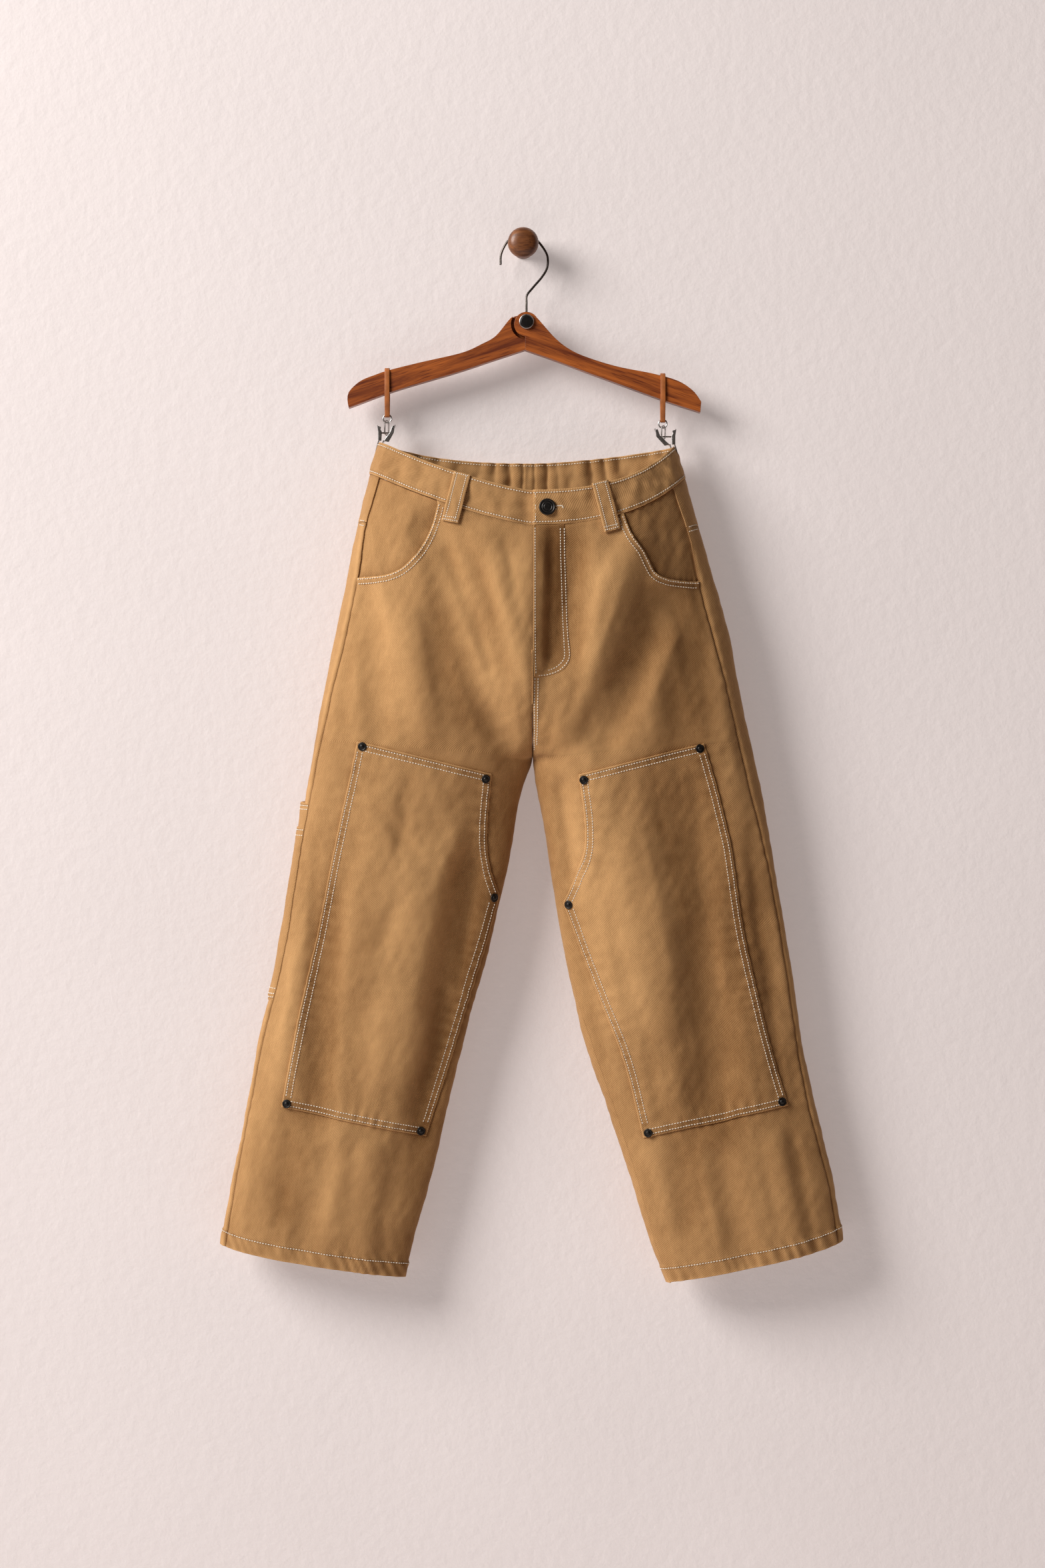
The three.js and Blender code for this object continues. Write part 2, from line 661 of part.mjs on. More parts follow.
function makeYoke(name, leg) {
  const columns = GATHERS * GATHER_STEPS;
  const levels = [0, 0.3, 0.65, 1];
  const outer = [];
  const inner = [];
  for (const level of levels) {
    const outerRow = [];
    const innerRow = [];
    for (let i = 0; i <= columns; i += 1) {
      const u = i / columns;
      const topZ = bandBottom(leg, 0.5001) - GAP;
      const seamZ = mix(topZ, leg.yokeSide, level);
      const seam = seamAt(leg, seamZ);
      const from = seam + stepFor(leg, seam, seamZ, SEAM);
      const s = mix(from, spreadAt(mix(0.5, 1, u), 0), ease(u * 6));
      const top = bandBottom(leg, s) - GAP;
      const low = yokeLine(leg, s) + SEAM;
      const z = mix(top, low, level);
      const rise = gatherRise(leg, s, top - z);
      outerRow.push(liftedPoint(leg, s, z, rise));
      innerRow.push(liftedPoint(leg, s, z, rise - CLOTH));
    }
    outer.push(outerRow);
    inner.push(innerRow);
  }
  addPiece(name, wallGeometry(outer, inner), 'twill');
}

// Stations along the waistband, from its upper end at the fly, round the back, to the underlap
function bandStations() {
  const { left, right } = LEGS;
  const stations = [];
  const frontSteps = 15;
  const backSteps = GATHERS * GATHER_STEPS;
  for (let i = 0; i <= frontSteps; i += 1) {
    stations.push({ leg: left, s: spreadAt(mix(0, 0.5, i / frontSteps), 0), sink: 0 });
  }
  for (let i = 1; i <= backSteps; i += 1) {
    stations.push({ leg: left, s: spreadAt(mix(0.5, 1, i / backSteps), 0), sink: 0 });
  }
  for (let i = backSteps - 1; i >= 1; i -= 1) {
    stations.push({ leg: right, s: spreadAt(mix(0.5, 1, i / backSteps), 0), sink: 0 });
  }
  for (let i = frontSteps; i >= 0; i -= 1) {
    const s = spreadAt(mix(0, 0.5, i / frontSteps), 0);
    const x = roundPoint(right, s, -280).x;
    const sink = UNDERLAP_DEPTH * ease(1 - (CENTRE_X - 2 - x) / UNDERLAP_EASE);
    stations.push({ leg: right, s, sink });
  }
  for (let i = 1; i <= 3; i += 1) {
    const s = roundAtX(left, CENTRE_X + (UNDERLAP * i) / 3, -280, false);
    stations.push({ leg: left, s, sink: UNDERLAP_DEPTH });
  }
  return stations;
}

function makeWaistband() {
  const outer = [];
  const inner = [];
  const stations = bandStations();
  for (const level of [0, 0.5, 1]) {
    const outerRow = [];
    const innerRow = [];
    for (const { leg, s, sink } of stations) {
      const z = mix(bandTop(leg, s), bandBottom(leg, s), level);
      const rise = gatherRise(leg, s, 0) - sink;
      outerRow.push(liftedPoint(leg, s, z, BAND_PROUD + rise));
      innerRow.push(liftedPoint(leg, s, z, BAND_PROUD - BAND_CLOTH + rise));
    }
    outer.push(outerRow);
    inner.push(innerRow);
  }
  return addPiece('waistband', wallGeometry(outer, inner), 'twill');
}

// A piece that lies on the cloth: place gives s and z for a and b from 0 to 1
function overlayGeometry(leg, columns, levels, place, lift, thick) {
  const outer = [];
  const inner = [];
  for (const b of levels) {
    const outerRow = [];
    const innerRow = [];
    for (let i = 0; i <= columns; i += 1) {
      const { s, z } = place(i / columns, b);
      const rise = lift(b);
      outerRow.push(liftedPoint(leg, s, z, rise + thick));
      innerRow.push(liftedPoint(leg, s, z, rise));
    }
    outer.push(outerRow);
    inner.push(innerRow);
  }
  return wallGeometry(outer, inner);
}

// Piece cut from a layer of the panel by an outline seen from the front
function addCutPiece(name, leg, back, liftIn, thick, outline, look) {
  const layer = toSolid(panelGeometry(leg, back, liftIn + thick, liftIn));
  const prism = toSolid(frontPrism(outline, LAYER_NEAR, LAYER_FAR, 0));
  return addPiece(name, fromSolid(layer.intersect(prism)), look);
}

const evenLevels = (count) => Array.from({ length: count + 1 }, (_, j) => j / count);

// Pocket piece that shows behind the mouth, just inside the front panel
function makeFacing(name, leg, edge) {
  const bottom = edge[edge.length - 1].z;
  const topNominal = bandBottom(leg, 0.5) - GAP;
  const outline = [];
  for (const row of edge) outline.push([row.x, row.z]);
  for (const share of [0.35, 0.7, 1]) {
    const x = mix(edge[edge.length - 1].x, outerEdge(leg, bottom), share);
    outline.push([x, bottom]);
  }
  outline.push([leg.sign * 260, bottom], [leg.sign * 260, topNominal + 40], [edge[0].x, topNominal + 40]);
  addCutPiece(name, leg, false, -CLOTH - 0.35 - LINING_CLOTH, LINING_CLOTH, outline, 'lining');
}

function makePatch(name, leg, rows) {
  const outline = rows.map((row) => [row.outerX, row.outerZ]);
  for (const row of [...rows].reverse()) outline.push([row.innerX, row.innerZ]);
  return addCutPiece(name, leg, false, PATCH_LIFT, CLOTH, outline, 'twill');
}

function makeFly() {
  const outline = [[CENTRE_X - 4, -250]];
  for (const row of FLY_WIDTH) outline.push([CENTRE_X + row.width, row.z]);
  outline.push([CENTRE_X - 4, FLY_WIDTH[FLY_WIDTH.length - 1].z]);
  addCutPiece('fly_piece', LEGS.left, false, GAP, FLY_CLOTH, outline, 'twill');
}

function loopLift(b) {
  return BAND_PROUD + GAP + LOOP_BOW * Math.sin(Math.PI * b) + LOOP_HEEL * b;
}

function makeFrontLoop({ name, leg, topX, topZ, lowX, lowZ }) {
  const host = LEGS[leg];
  const length = Math.hypot(lowX - topX, lowZ - topZ);
  const acrossX = (-(lowZ - topZ) / length) * LOOP_WIDTH;
  const acrossZ = ((lowX - topX) / length) * LOOP_WIDTH;
  const place = (a, b) => {
    const x = mix(topX, lowX, b) + (a - 0.5) * acrossX;
    const z = mix(topZ, lowZ, b) + (a - 0.5) * acrossZ;
    return { s: roundAtX(host, x, z, false), z };
  };
  addPiece(name, overlayGeometry(host, 3, evenLevels(7), place, loopLift, 1.6), 'twill');
}

function makeBackLoop({ name, leg, x }) {
  const host = LEGS[leg];
  const place = (a, b) => {
    const s = roundAtX(host, x + (a - 0.5) * LOOP_WIDTH, -260, true);
    const z = mix(bandTop(host, s) - 1, bandBottom(host, s) - 13, b);
    return { s, z };
  };
  const lift = (b) => loopLift(b) + GATHER_DEPTH;
  addPiece(name, overlayGeometry(host, 3, evenLevels(7), place, lift, 1.6), 'twill');
}

// Tool pockets behind the right leg's side seam, the smaller one on the larger
function makeToolPocket(name, { seamTop, backTop, bottom, width, lift }) {
  const leg = LEGS.right;
  const outline = [[outerEdge(leg, bottom) - 40, bottom], [outerEdge(leg, bottom) - 40, seamTop]];
  outline.push([outerEdge(leg, seamTop), seamTop]);
  for (const share of [0, 0.25, 0.5, 0.75, 1]) {
    const z = mix(backTop, bottom, share);
    const s = walkRound(leg, seamAt(leg, z), z, width);
    outline.push([roundPoint(leg, s, z).x, z]);
  }
  addCutPiece(name, leg, true, lift, CLOTH, outline, 'twill');
}

// Turned piece on an axis: profile rows of radius and height, set on the cloth
function makeTurned(name, profile, sides, look) {
  const points = profile.map(([radius, height]) => new THREE.Vector2(radius, height));
  return addPiece(name, welded(new THREE.LatheGeometry(points, sides)), look);
}

// Seats a turned piece on a cloth piece, clear of the cloth all round its rim
function seatOnPiece(mesh, host, leg, x, z, radius) {
  const s = roundAtX(leg, x, z, false);
  const normal = roundNormal(leg, s, z);
  const foot = roundPoint(leg, s, z);
  const turn = new THREE.Quaternion().setFromUnitVectors(new THREE.Vector3(0, 1, 0), normal);
  const ray = new THREE.Raycaster();
  const reach = 20;
  let height = 0;
  for (let i = 0; i < 9; i += 1) {
    const angle = (Math.PI * i) / 4;
    const rim = i === 8 ? 0 : radius;
    const offset = new THREE.Vector3(rim * Math.cos(angle), 0, rim * Math.sin(angle)).applyQuaternion(turn);
    const start = foot.clone().add(offset).addScaledVector(normal, reach);
    ray.set(start, normal.clone().negate());
    const [hit] = ray.intersectObject(host);
    if (hit) height = Math.max(height, reach - hit.distance);
  }
  mesh.position.copy(foot).addScaledVector(normal, height + GAP);
  mesh.quaternion.copy(turn);
}

const RIVET_PROFILE = [[0, 0], [RIVET_RADIUS, 0], [RIVET_RADIUS, 0.8], [3, 1.2], [2, 2], [0, 2.4]];
const BUTTON_PROFILE = [
  [0, 0], [6, 0], [BUTTON_RADIUS, 1.2], [BUTTON_RADIUS, 2.6], [7.6, 3.5], [6.4, 3], [5, 3.3], [3.4, 2.8], [0, 3],
];

function makeRivets(side, leg, host, rivets) {
  rivets.forEach(({ x, z }, i) => {
    const mesh = makeTurned(`rivet_${side}_${i + 1}`, RIVET_PROFILE, 10, 'gunmetal');
    seatOnPiece(mesh, host, leg, x, z, RIVET_RADIUS);
  });
}

// Knob that projects from the wall, turned about the y axis
function makeKnob() {
  const neck = 10;
  const head = 16.5;
  const profile = [[0, 0], [12, 0], [12, -3], [neck, -6], [neck, -25], [12.5, -27]];
  for (let i = 1; i <= 6; i += 1) {
    const angle = (Math.PI * (i - 1.6)) / 9.4;
    profile.push([head * Math.cos(angle), -34 - 11 * Math.sin(angle)]);
  }
  profile.push([0, -45.5]);
  makeTurned('knob', profile, 20, 'knobWood');
}

// Wire hook that lies on the knob's neck and ends in the hanger's joint
function makeHook() {
  const path = new THREE.CatmullRomCurve3([
    [-24, -19, -21], [-23.4, -19, -9.5], [-17.5, -19, 2.5], [-9, -19, 9.6], [0, -19, 11.7],
    [9.5, -19, 9.6], [17.5, -19, 2], [24, -19.5, -7.5], [26.2, -20, -15], [25.3, -21, -25],
    [20, -22.5, -34.5], [10.6, -24.5, -45.8], [4, -26, -54.5], [3.5, -27, -63], [3.5, -27, -72.6],
  ].map(([x, y, z]) => new THREE.Vector3(x, y, z)));
  const section = new THREE.Shape();
  for (let i = 0; i < 8; i += 1) {
    const angle = (2 * Math.PI * i) / 8;
    const corner = [HOOK_RADIUS * Math.cos(angle), HOOK_RADIUS * Math.sin(angle)];
    if (i === 0) section.moveTo(...corner);
    else section.lineTo(...corner);
  }
  const geometry = new THREE.ExtrudeGeometry(section, { steps: 36, extrudePath: path, bevelEnabled: false });
  addPiece('hook', welded(geometry), 'darkSteel');
}

// Prism of an outline seen from the front, between two depths
function frontPrism(points, yNear, yFar, bevel) {
  const shape = new THREE.Shape(points.map(([x, z]) => new THREE.Vector2(x, z)));
  const depth = yFar - yNear - 2 * bevel;
  const geometry = new THREE.ExtrudeGeometry(shape, {
    depth, bevelEnabled: bevel > 0, bevelThickness: bevel, bevelSize: bevel, bevelOffset: -bevel,
    bevelSegments: 2,
  });
  geometry.rotateX(Math.PI / 2);
  geometry.translate(0, yFar - bevel, 0);
  return geometry;
}

function disc(radius, yNear, yFar, sides) {
  const geometry = new THREE.CylinderGeometry(radius, radius, yFar - yNear, sides);
  geometry.translate(PIVOT.x, (yNear + yFar) / 2, PIVOT.z);
  return geometry;
}

const RIGHT_ARM = [
  [1.9, -113], [-31.4, -124], [-70.5, -137], [-136, -156.5], [-184.6, -174.4], [-186, -166], [-184, -157],
  [-172, -146], [-156.5, -139.6], [-142.4, -134.8], [-109.6, -126.6], [-65.5, -116.4], [-44.4, -107.3],
  [-29, -98.4], [-13.4, -79.8], [-5.5, -76], [1.9, -80],
];
const LEFT_ARM = [
  [2.2, -80], [8, -76.5], [13, -77.6], [23.3, -89], [33.8, -100.6], [47, -111.2], [65, -120],
  [99, -130.6], [138, -138.4], [164, -146], [180, -156.6], [188.5, -168], [187.5, -179.2], [151, -167.4],
  [86, -143.7], [33.8, -124.2], [2.2, -113.2],
];

function makeArm(name, outline, rearJoint) {
  const near = HANGER_BACK - HANGER_THICK;
  const halfGap = GAP / 2;
  const body = toSolid(frontPrism(outline, near, HANGER_BACK, 2.5));
  const lobe = toSolid(disc(LOBE_RADIUS, near, HANGER_BACK, 28).translate(0, 0, -1));
  const cutter = rearJoint
    ? disc(JOINT_RADIUS, near - 1, HANGER_Y + halfGap, 28)
    : disc(JOINT_RADIUS, HANGER_Y - halfGap, HANGER_BACK + 1, 28);
  addPiece(name, fromSolid(body.add(lobe).subtract(toSolid(cutter))), 'wood');
}

function makePivot() {
  const near = HANGER_BACK - HANGER_THICK;
  const ring = makeTurned('pivot_ring', [[0, 0], [7.9, 0], [7.9, 2], [7.2, 2.8], [0, 2.8]], 20, 'steel');
  ring.rotation.x = Math.PI;
  ring.position.set(PIVOT.x, near - GAP, PIVOT.z + 1.5);
  const cap = makeTurned('pivot_cap', [[0, 0], [6.4, 0], [6.4, 1], [5.8, 1.6], [0, 1.6]], 20, 'gunmetal');
  cap.rotation.x = Math.PI;
  cap.position.set(PIVOT.x, near - 2 * GAP - 2.8, PIVOT.z + 1.5);
}

// Outline of a strap's loop in the plane across the arm, grown by a margin
function strapOutline(top, margin) {
  const half = HANGER_THICK / 2 + 0.5 + margin;
  const low = top - STRAP_DROP;
  const outline = [];
  for (let i = 0; i <= 8; i += 1) {
    const angle = (Math.PI * i) / 8;
    outline.push(new THREE.Vector2(half * Math.cos(angle), top - 4 + (4 + margin) * Math.sin(angle)));
  }
  outline.push(new THREE.Vector2(-half, top - 29));
  for (let i = 0; i <= 6; i += 1) {
    const angle = Math.PI + (Math.PI * i) / 6;
    const narrow = 1.5 + margin;
    outline.push(new THREE.Vector2(narrow * Math.cos(angle), low + 1.5 + narrow * Math.sin(angle)));
  }
  outline.push(new THREE.Vector2(half, top - 29));
  return outline;
}

function makeStrap(name, x, top) {
  const shape = new THREE.Shape(strapOutline(top, STRAP_THICK));
  shape.holes.push(new THREE.Path(strapOutline(top, 0).reverse()));
  const geometry = new THREE.ExtrudeGeometry(shape, { depth: STRAP_WIDTH, bevelEnabled: false });
  const across = new THREE.Matrix4().makeBasis(
    new THREE.Vector3(0, 1, 0), new THREE.Vector3(0, 0, 1), new THREE.Vector3(1, 0, 0),
  );
  geometry.applyMatrix4(across);
  geometry.translate(x - STRAP_WIDTH / 2, HANGER_Y, 0);
  addPiece(name, welded(geometry), 'leather');
}

function makeRing(name, x, z) {
  const profile = [];
  for (let i = 0; i <= 6; i += 1) {
    const angle = (2 * Math.PI * i) / 6;
    profile.push([RING_RADIUS + RING_WIRE * Math.cos(angle), RING_WIRE * Math.sin(angle)]);
  }
  const ring = makeTurned(name, profile, 16, 'steel');
  ring.position.set(x, HANGER_Y, z);
}

// Flat long link between the ring and the clip's pin
function makeLink(name, x, top, bottom) {
  const half = (top - bottom) / 2;
  const stadium = (path, radius) => {
    const straight = half - LINK_HALF_WIDTH - LINK_WIRE;
    path.absarc(0, straight, radius, 0, Math.PI);
    path.absarc(0, -straight, radius, Math.PI, 2 * Math.PI);
    path.closePath();
    return path;
  };
  const shape = stadium(new THREE.Shape(), LINK_HALF_WIDTH + LINK_WIRE);
  shape.holes.push(stadium(new THREE.Path(), LINK_HALF_WIDTH));
  const options = { depth: LINK_WIRE, curveSegments: 5, bevelEnabled: false };
  const geometry = new THREE.ExtrudeGeometry(shape, options);
  geometry.translate(0, 0, -LINK_WIRE / 2);
  geometry.rotateX(Math.PI / 2);
  const link = addPiece(name, welded(geometry), 'steel');
  link.rotation.z = Math.PI / 4;
  link.position.set(x, HANGER_Y, (top + bottom) / 2);
}

// Spring clip: two plates in a V on a pin, their jaws on both sides of the waistband
function makeClip(name, leg, linkX, pinZ) {
  const thick = 0.9;
  const backY = HANGER_Y + 2;
  const frontY = backY - 13;
  const jawTop = leg.top + 1.5;
  const jawLow = leg.top - 9;
  const out = leg.sign;
  const outerTop = roundPoint(leg, 0.5, leg.top).x + out * (BAND_PROUD + 2 * GAP);
  const outerLow = roundPoint(leg, 0.5, jawLow).x + out * (BAND_PROUD + 2 * GAP);
  const innerShift = -out * (BAND_CLOTH + 4 * GAP + thick + JAW_SLACK);
  const pinInner = linkX - out * 5.4;
  const plate = (points, near, far) => {
    const shape = [...points];
    for (const [x, z] of [...points].reverse()) shape.push([x + out * thick, z]);
    return toSolid(frontPrism(shape, near, far, 0));
  };
  const jaws = (shift) => plate([[outerLow + shift, jawLow], [outerTop + shift, jawTop + 1]], frontY, frontY + 6);
  const outerArm = plate([[outerTop, jawTop], [outerTop, pinZ], [outerTop + out, pinZ + 7]], frontY, backY);
  const innerArm = plate(
    [[outerTop + innerShift, jawTop], [pinInner, pinZ], [pinInner - out * 4.5, pinZ + 7.5]], frontY, backY,
  );
  const length = Math.abs(outerTop + out * thick - pinInner);
  const pin = new THREE.CylinderGeometry(0.9, 0.9, length, 10);
  pin.rotateZ(Math.PI / 2);
  pin.translate((outerTop + out * thick + pinInner) / 2, HANGER_Y, pinZ);
  const whole = outerArm.add(innerArm).add(jaws(0)).add(jaws(innerShift)).add(toSolid(pin));
  addPiece(name, fromSolid(whole), 'steel');
}

// Strap, ring, link and clip that carry one side of the waistband
function makeHangingSet(side, leg, strapX, strapTop) {
  const strapLow = strapTop - STRAP_DROP;
  const ringZ = strapLow + 4 * GAP + RING_WIRE - RING_RADIUS;
  const linkTop = ringZ - RING_RADIUS + RING_WIRE + 3 * GAP + LINK_WIRE;
  const linkX = strapX + 0.7 * leg.sign;
  const pinZ = leg.top + 11.5;
  makeStrap(`strap_${side}`, strapX, strapTop);
  makeRing(`ring_${side}`, strapX, ringZ);
  makeLink(`link_${side}`, linkX, linkTop, pinZ - 0.9 - 3 * GAP - LINK_WIRE);
  makeClip(`clip_${side}`, leg, linkX, pinZ);
}

makeFront('front_right', LEGS.right, RIGHT_MOUTH);
makeFront('front_left', LEGS.left, LEFT_MOUTH);
addPiece('back_right', panelGeometry(LEGS.right, true), 'twill');
addPiece('back_left', panelGeometry(LEGS.left, true), 'twill');
makeYoke('yoke_right', LEGS.right);
makeYoke('yoke_left', LEGS.left);
const waistband = makeWaistband();
makeFacing('pocket_piece_right', LEGS.right, RIGHT_FACING);
makeFacing('pocket_piece_left', LEGS.left, LEFT_FACING);
const rightPatch = makePatch('knee_patch_right', LEGS.right, RIGHT_PATCH);
const leftPatch = makePatch('knee_patch_left', LEGS.left, LEFT_PATCH);
makeFly();
FRONT_LOOPS.forEach(makeFrontLoop);
BACK_LOOPS.forEach(makeBackLoop);
makeToolPocket('tool_pocket_large', { seamTop: -592, backTop: -572, bottom: -800, width: 122, lift: GAP });
makeToolPocket('tool_pocket_small', { seamTop: -618, backTop: -618, bottom: -796, width: 62, lift: 2 * GAP + CLOTH });
makeRivets('right', LEGS.right, rightPatch, RIGHT_RIVETS);
makeRivets('left', LEGS.left, leftPatch, LEFT_RIVETS);
const waistButton = makeTurned('waist_button', BUTTON_PROFILE, 20, 'gunmetal');
seatOnPiece(waistButton, waistband, LEGS.left, 25, -285, BUTTON_RADIUS);
makeKnob();
makeHook();
makeArm('hanger_arm_right', RIGHT_ARM, true);
makeArm('hanger_arm_left', LEFT_ARM, false);
makePivot();
makeHangingSet('right', LEGS.right, -144, -132.9);
makeHangingSet('left', LEGS.left, 148, -138.4);

export default garment;
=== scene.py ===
import math

import bmesh
import bpy
import numpy as np
from mathutils import Matrix, Vector


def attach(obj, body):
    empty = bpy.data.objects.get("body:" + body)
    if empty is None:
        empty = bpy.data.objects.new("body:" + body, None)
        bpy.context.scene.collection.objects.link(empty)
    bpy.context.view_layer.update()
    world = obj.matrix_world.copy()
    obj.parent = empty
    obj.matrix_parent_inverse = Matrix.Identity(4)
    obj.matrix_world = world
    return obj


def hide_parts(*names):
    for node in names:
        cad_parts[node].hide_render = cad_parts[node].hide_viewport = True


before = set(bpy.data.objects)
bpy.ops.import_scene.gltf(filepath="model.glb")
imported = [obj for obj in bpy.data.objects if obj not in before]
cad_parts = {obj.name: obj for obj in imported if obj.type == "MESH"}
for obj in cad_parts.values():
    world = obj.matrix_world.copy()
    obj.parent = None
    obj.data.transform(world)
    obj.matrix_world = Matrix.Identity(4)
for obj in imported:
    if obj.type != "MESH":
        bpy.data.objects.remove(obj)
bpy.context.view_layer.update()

bl_info = {
    "name": "Carpenter pants on a hanger",
    "version": (1, 0, 0),
    "blender": (4, 5, 0),
    "location": "3D View > Sidebar > Pants",
    "description": "Builds twill carpenter pants clipped to a wooden hanger on a wall knob",
    "category": "Object",
}

# Sizes in millimetres, in the frame of the solids; meshes are made in metres
MM = 0.001
CLOTH = 1.5
BAND_CLOTH = 2.4
BAND_PROUD = 0.8
LINING_CLOTH = 1.1
GAP = 0.3
SEAM = GAP / 2
CENTRE_X = 10.0
CROTCH_Z = -545.0
CROTCH_RISE = 95.0
CROTCH_SIDE_Z = -527.0
SECTION_POWER = 2.6
BAND_SIDE_HEIGHT = 33.5
BAND_CENTRE_HEIGHT = 37.0
BAND_BACK_HEIGHT = 34.0
UNDERLAP = 24.0
UNDERLAP_DEPTH = 2.9
UNDERLAP_EASE = 22.0
HEM_HEIGHT = 16.0
HEM_PROUD = 0.7
GATHERS = 10
GATHER_DEPTH = 1.5
GATHER_FADE = 26.0
LOOP_WIDTH = 17.5
LOOP_BOW = 1.4
LOOP_HEEL = 0.6
LOOP_CLOTH = 1.6
RIVET_RADIUS = 4.65
BUTTON_RADIUS = 8.75
PATCH_LIFT = 0.3
HANGER_BACK = -20.0
HANGER_THICK = 14.0
HANGER_Y = HANGER_BACK - HANGER_THICK / 2
PIVOT_X = 3.5
PIVOT_Z = -85.0
LOBE_RADIUS = 13.0
JOINT_RADIUS = 16.4
STITCH_PITCH = 3.0
PATCH_ROWS = (2.9, 8.0)
BAND_ROW = 2.9
WALES_IN_A_METRE = 0.314 / 0.0015
WALL_GLOW = 0.4
# Reach in mm of the painted shade along each leg's inner edge
INNER_SHADE_REACH = {"right": 22, "left": 16}


def table(columns, rows):
    """Named columns of a table whose rows run downwards."""
    return dict(zip(columns.split(), np.array(rows, dtype=float).T))


OUTLINE = "z outer seam inner"
RIGHT_OUTLINE = table(OUTLINE, (
    (-212, -151, -139, CENTRE_X), (-250, -163, -151, CENTRE_X), (-300, -175, -165, CENTRE_X),
    (-350, -184.5, -172.5, CENTRE_X), (-420, -199, -186.5, CENTRE_X), (-480, -210.5, -201, CENTRE_X),
    (-545, -222.5, -216, CENTRE_X), (-575, -227.5, -222, 0.5), (-600, -232, -227, -6),
    (-640, -239, -233.5, -12), (-680, -245.5, -240, -21), (-760, -259, -253.5, -39),
    (-840, -278, -273.5, -62), (-920, -293, -289.5, -81), (-1000, -309, -304.5, -100.5),
    (-1060, -320, -313.5, -117), (-1100, -322, -315, -127),
))
LEFT_OUTLINE = table(OUTLINE, (
    (-212, 157, 144, CENTRE_X), (-250, 171, 154, CENTRE_X), (-300, 186, 171, CENTRE_X),
    (-350, 199, 184, CENTRE_X), (-420, 218, 201, CENTRE_X), (-480, 230, 215.5, CENTRE_X),
    (-545, 243.5, 230.5, CENTRE_X), (-575, 250, 237, 13), (-600, 254.5, 243.5, 18),
    (-640, 262, 253.5, 25), (-680, 269, 262.5, 31.5), (-760, 282, 276, 45.5),
    (-840, 294, 288, 63), (-920, 311, 303, 91), (-1000, 329, 323, 117),
    (-1060, 338.5, 332, 136), (-1100, 340, 333, 152),
))
LEFT_INSEAM = table("z roll", ((-740, 0), (-800, 3), (-840, 7.5), (-920, 7.5), (-1000, 7), (-1060, 4.5)))
DEPTHS = table("z middle front back", (
    (-212, -33, 57, 22), (-260, -36, 60, 25), (-340, -39, 64, 30), (-430, -42, 62, 33),
    (-545, -44, 54, 35), (-650, -43, 47, 34), (-800, -41, 42, 32), (-950, -39, 39, 30),
    (-1100, -38, 37, 29),
))

# Creases as seen from the front: ends, half width, rise away from the middle of the leg
CREASE = "x0 z0 x1 z1 half rise"
FRONT_CREASES = table(CREASE, (
    (-94, -308, -15, -535, 30, -6.5), (-40, -318, 0, -500, 24, 3.5), (-163, -380, -150, -515, 22, -4.5),
    (-125, -400, -100, -520, 26, 3.5), (-60, -655, -92, -800, 26, -5), (-150, -600, -175, -780, 30, 3.5),
    (-72, -810, -110, -915, 20, -4), (-205, -965, -232, -1060, 22, -3.5), (-160, -960, -166, -1075, 20, 3),
    (118, -320, 38, -515, 26, 5.5), (150, -385, 82, -520, 30, -7), (40, -575, 50, -665, 16, -6),
    (178, -740, 196, -905, 32, -6), (112, -640, 150, -820, 30, 4), (252, -620, 270, -790, 18, -3),
    (205, -965, 232, -1070, 24, -4), (265, -950, 290, -1055, 20, 3),
))
BACK_CREASES = table(CREASE, (
    (-30, -525, -150, -420, 26, -5), (52, -530, 165, -430, 26, -5), (-40, -590, -150, -660, 24, -5),
    (70, -600, 190, -680, 24, -4.5), (-95, -720, -220, -760, 22, -4), (105, -745, 225, -720, 22, -4),
    (-185, -830, -215, -1030, 26, -4), (200, -850, 232, -1040, 26, -4),
))
# Long folds as half width, rise and the points of their line, tapered at both ends
LONG_FRONT = (
    (34, -10, ((44, -282), (47, -380), (38, -478))),
    (22, 3, ((7, -300), (4, -400), (3, -505))),
    (30, -4.5, ((-84, -300), (-82, -380), (-70, -470), (-30, -545))),
    (34, 3.5, ((-28, -310), (-8, -400), (2, -490))),
    (30, 4, ((88, -320), (80, -400), (62, -480))),
    (30, -4, ((150, -345), (126, -430), (104, -510), (108, -560))),
    (30, 3, ((-122, -370), (-118, -450), (-110, -540))),
    (42, 6, ((60, -520), (78, -600), (86, -680), (104, -790), (124, -880))),
    (60, -12, ((150, -470), (172, -590), (198, -680), (216, -770), (226, -870), (214, -960), (206, -1020))),
    (38, -6.5, ((186, -318), (178, -400), (172, -470), (176, -560))),
    (32, 5, ((206, -580), (216, -700), (234, -820), (240, -940), (238, -1010))),
    (24, -3, ((240, -560), (256, -700), (272, -820), (290, -960))),
    (46, -6, ((-34, -560), (-48, -680), (-70, -800), (-96, -930), (-120, -1060))),
    (26, 3.5, ((-98, -318), (-70, -390), (-34, -470), (-6, -520))),
    (14, -2.6, ((-54, -320), (-34, -380), (-16, -450), (-4, -500))),
    (15, 2.4, ((70, -330), (58, -390), (40, -450), (20, -500))),
    (13, -2.6, ((98, -340), (76, -410), (52, -480), (30, -530))),
    (50, 6, ((-104, -580), (-114, -700), (-132, -820), (-146, -930))),
    (26, -7, ((-196, -640), (-206, -740), (-214, -860), (-216, -980))),
    (26, 3, ((-232, -680), (-246, -800), (-262, -940))),
    (34, 3, ((-186, -900), (-192, -980), (-196, -1065))),
    (30, -3.5, ((-236, -890), (-246, -980), (-252, -1050))),
    (34, -3.5, ((166, -880), (172, -970), (180, -1070))),
)
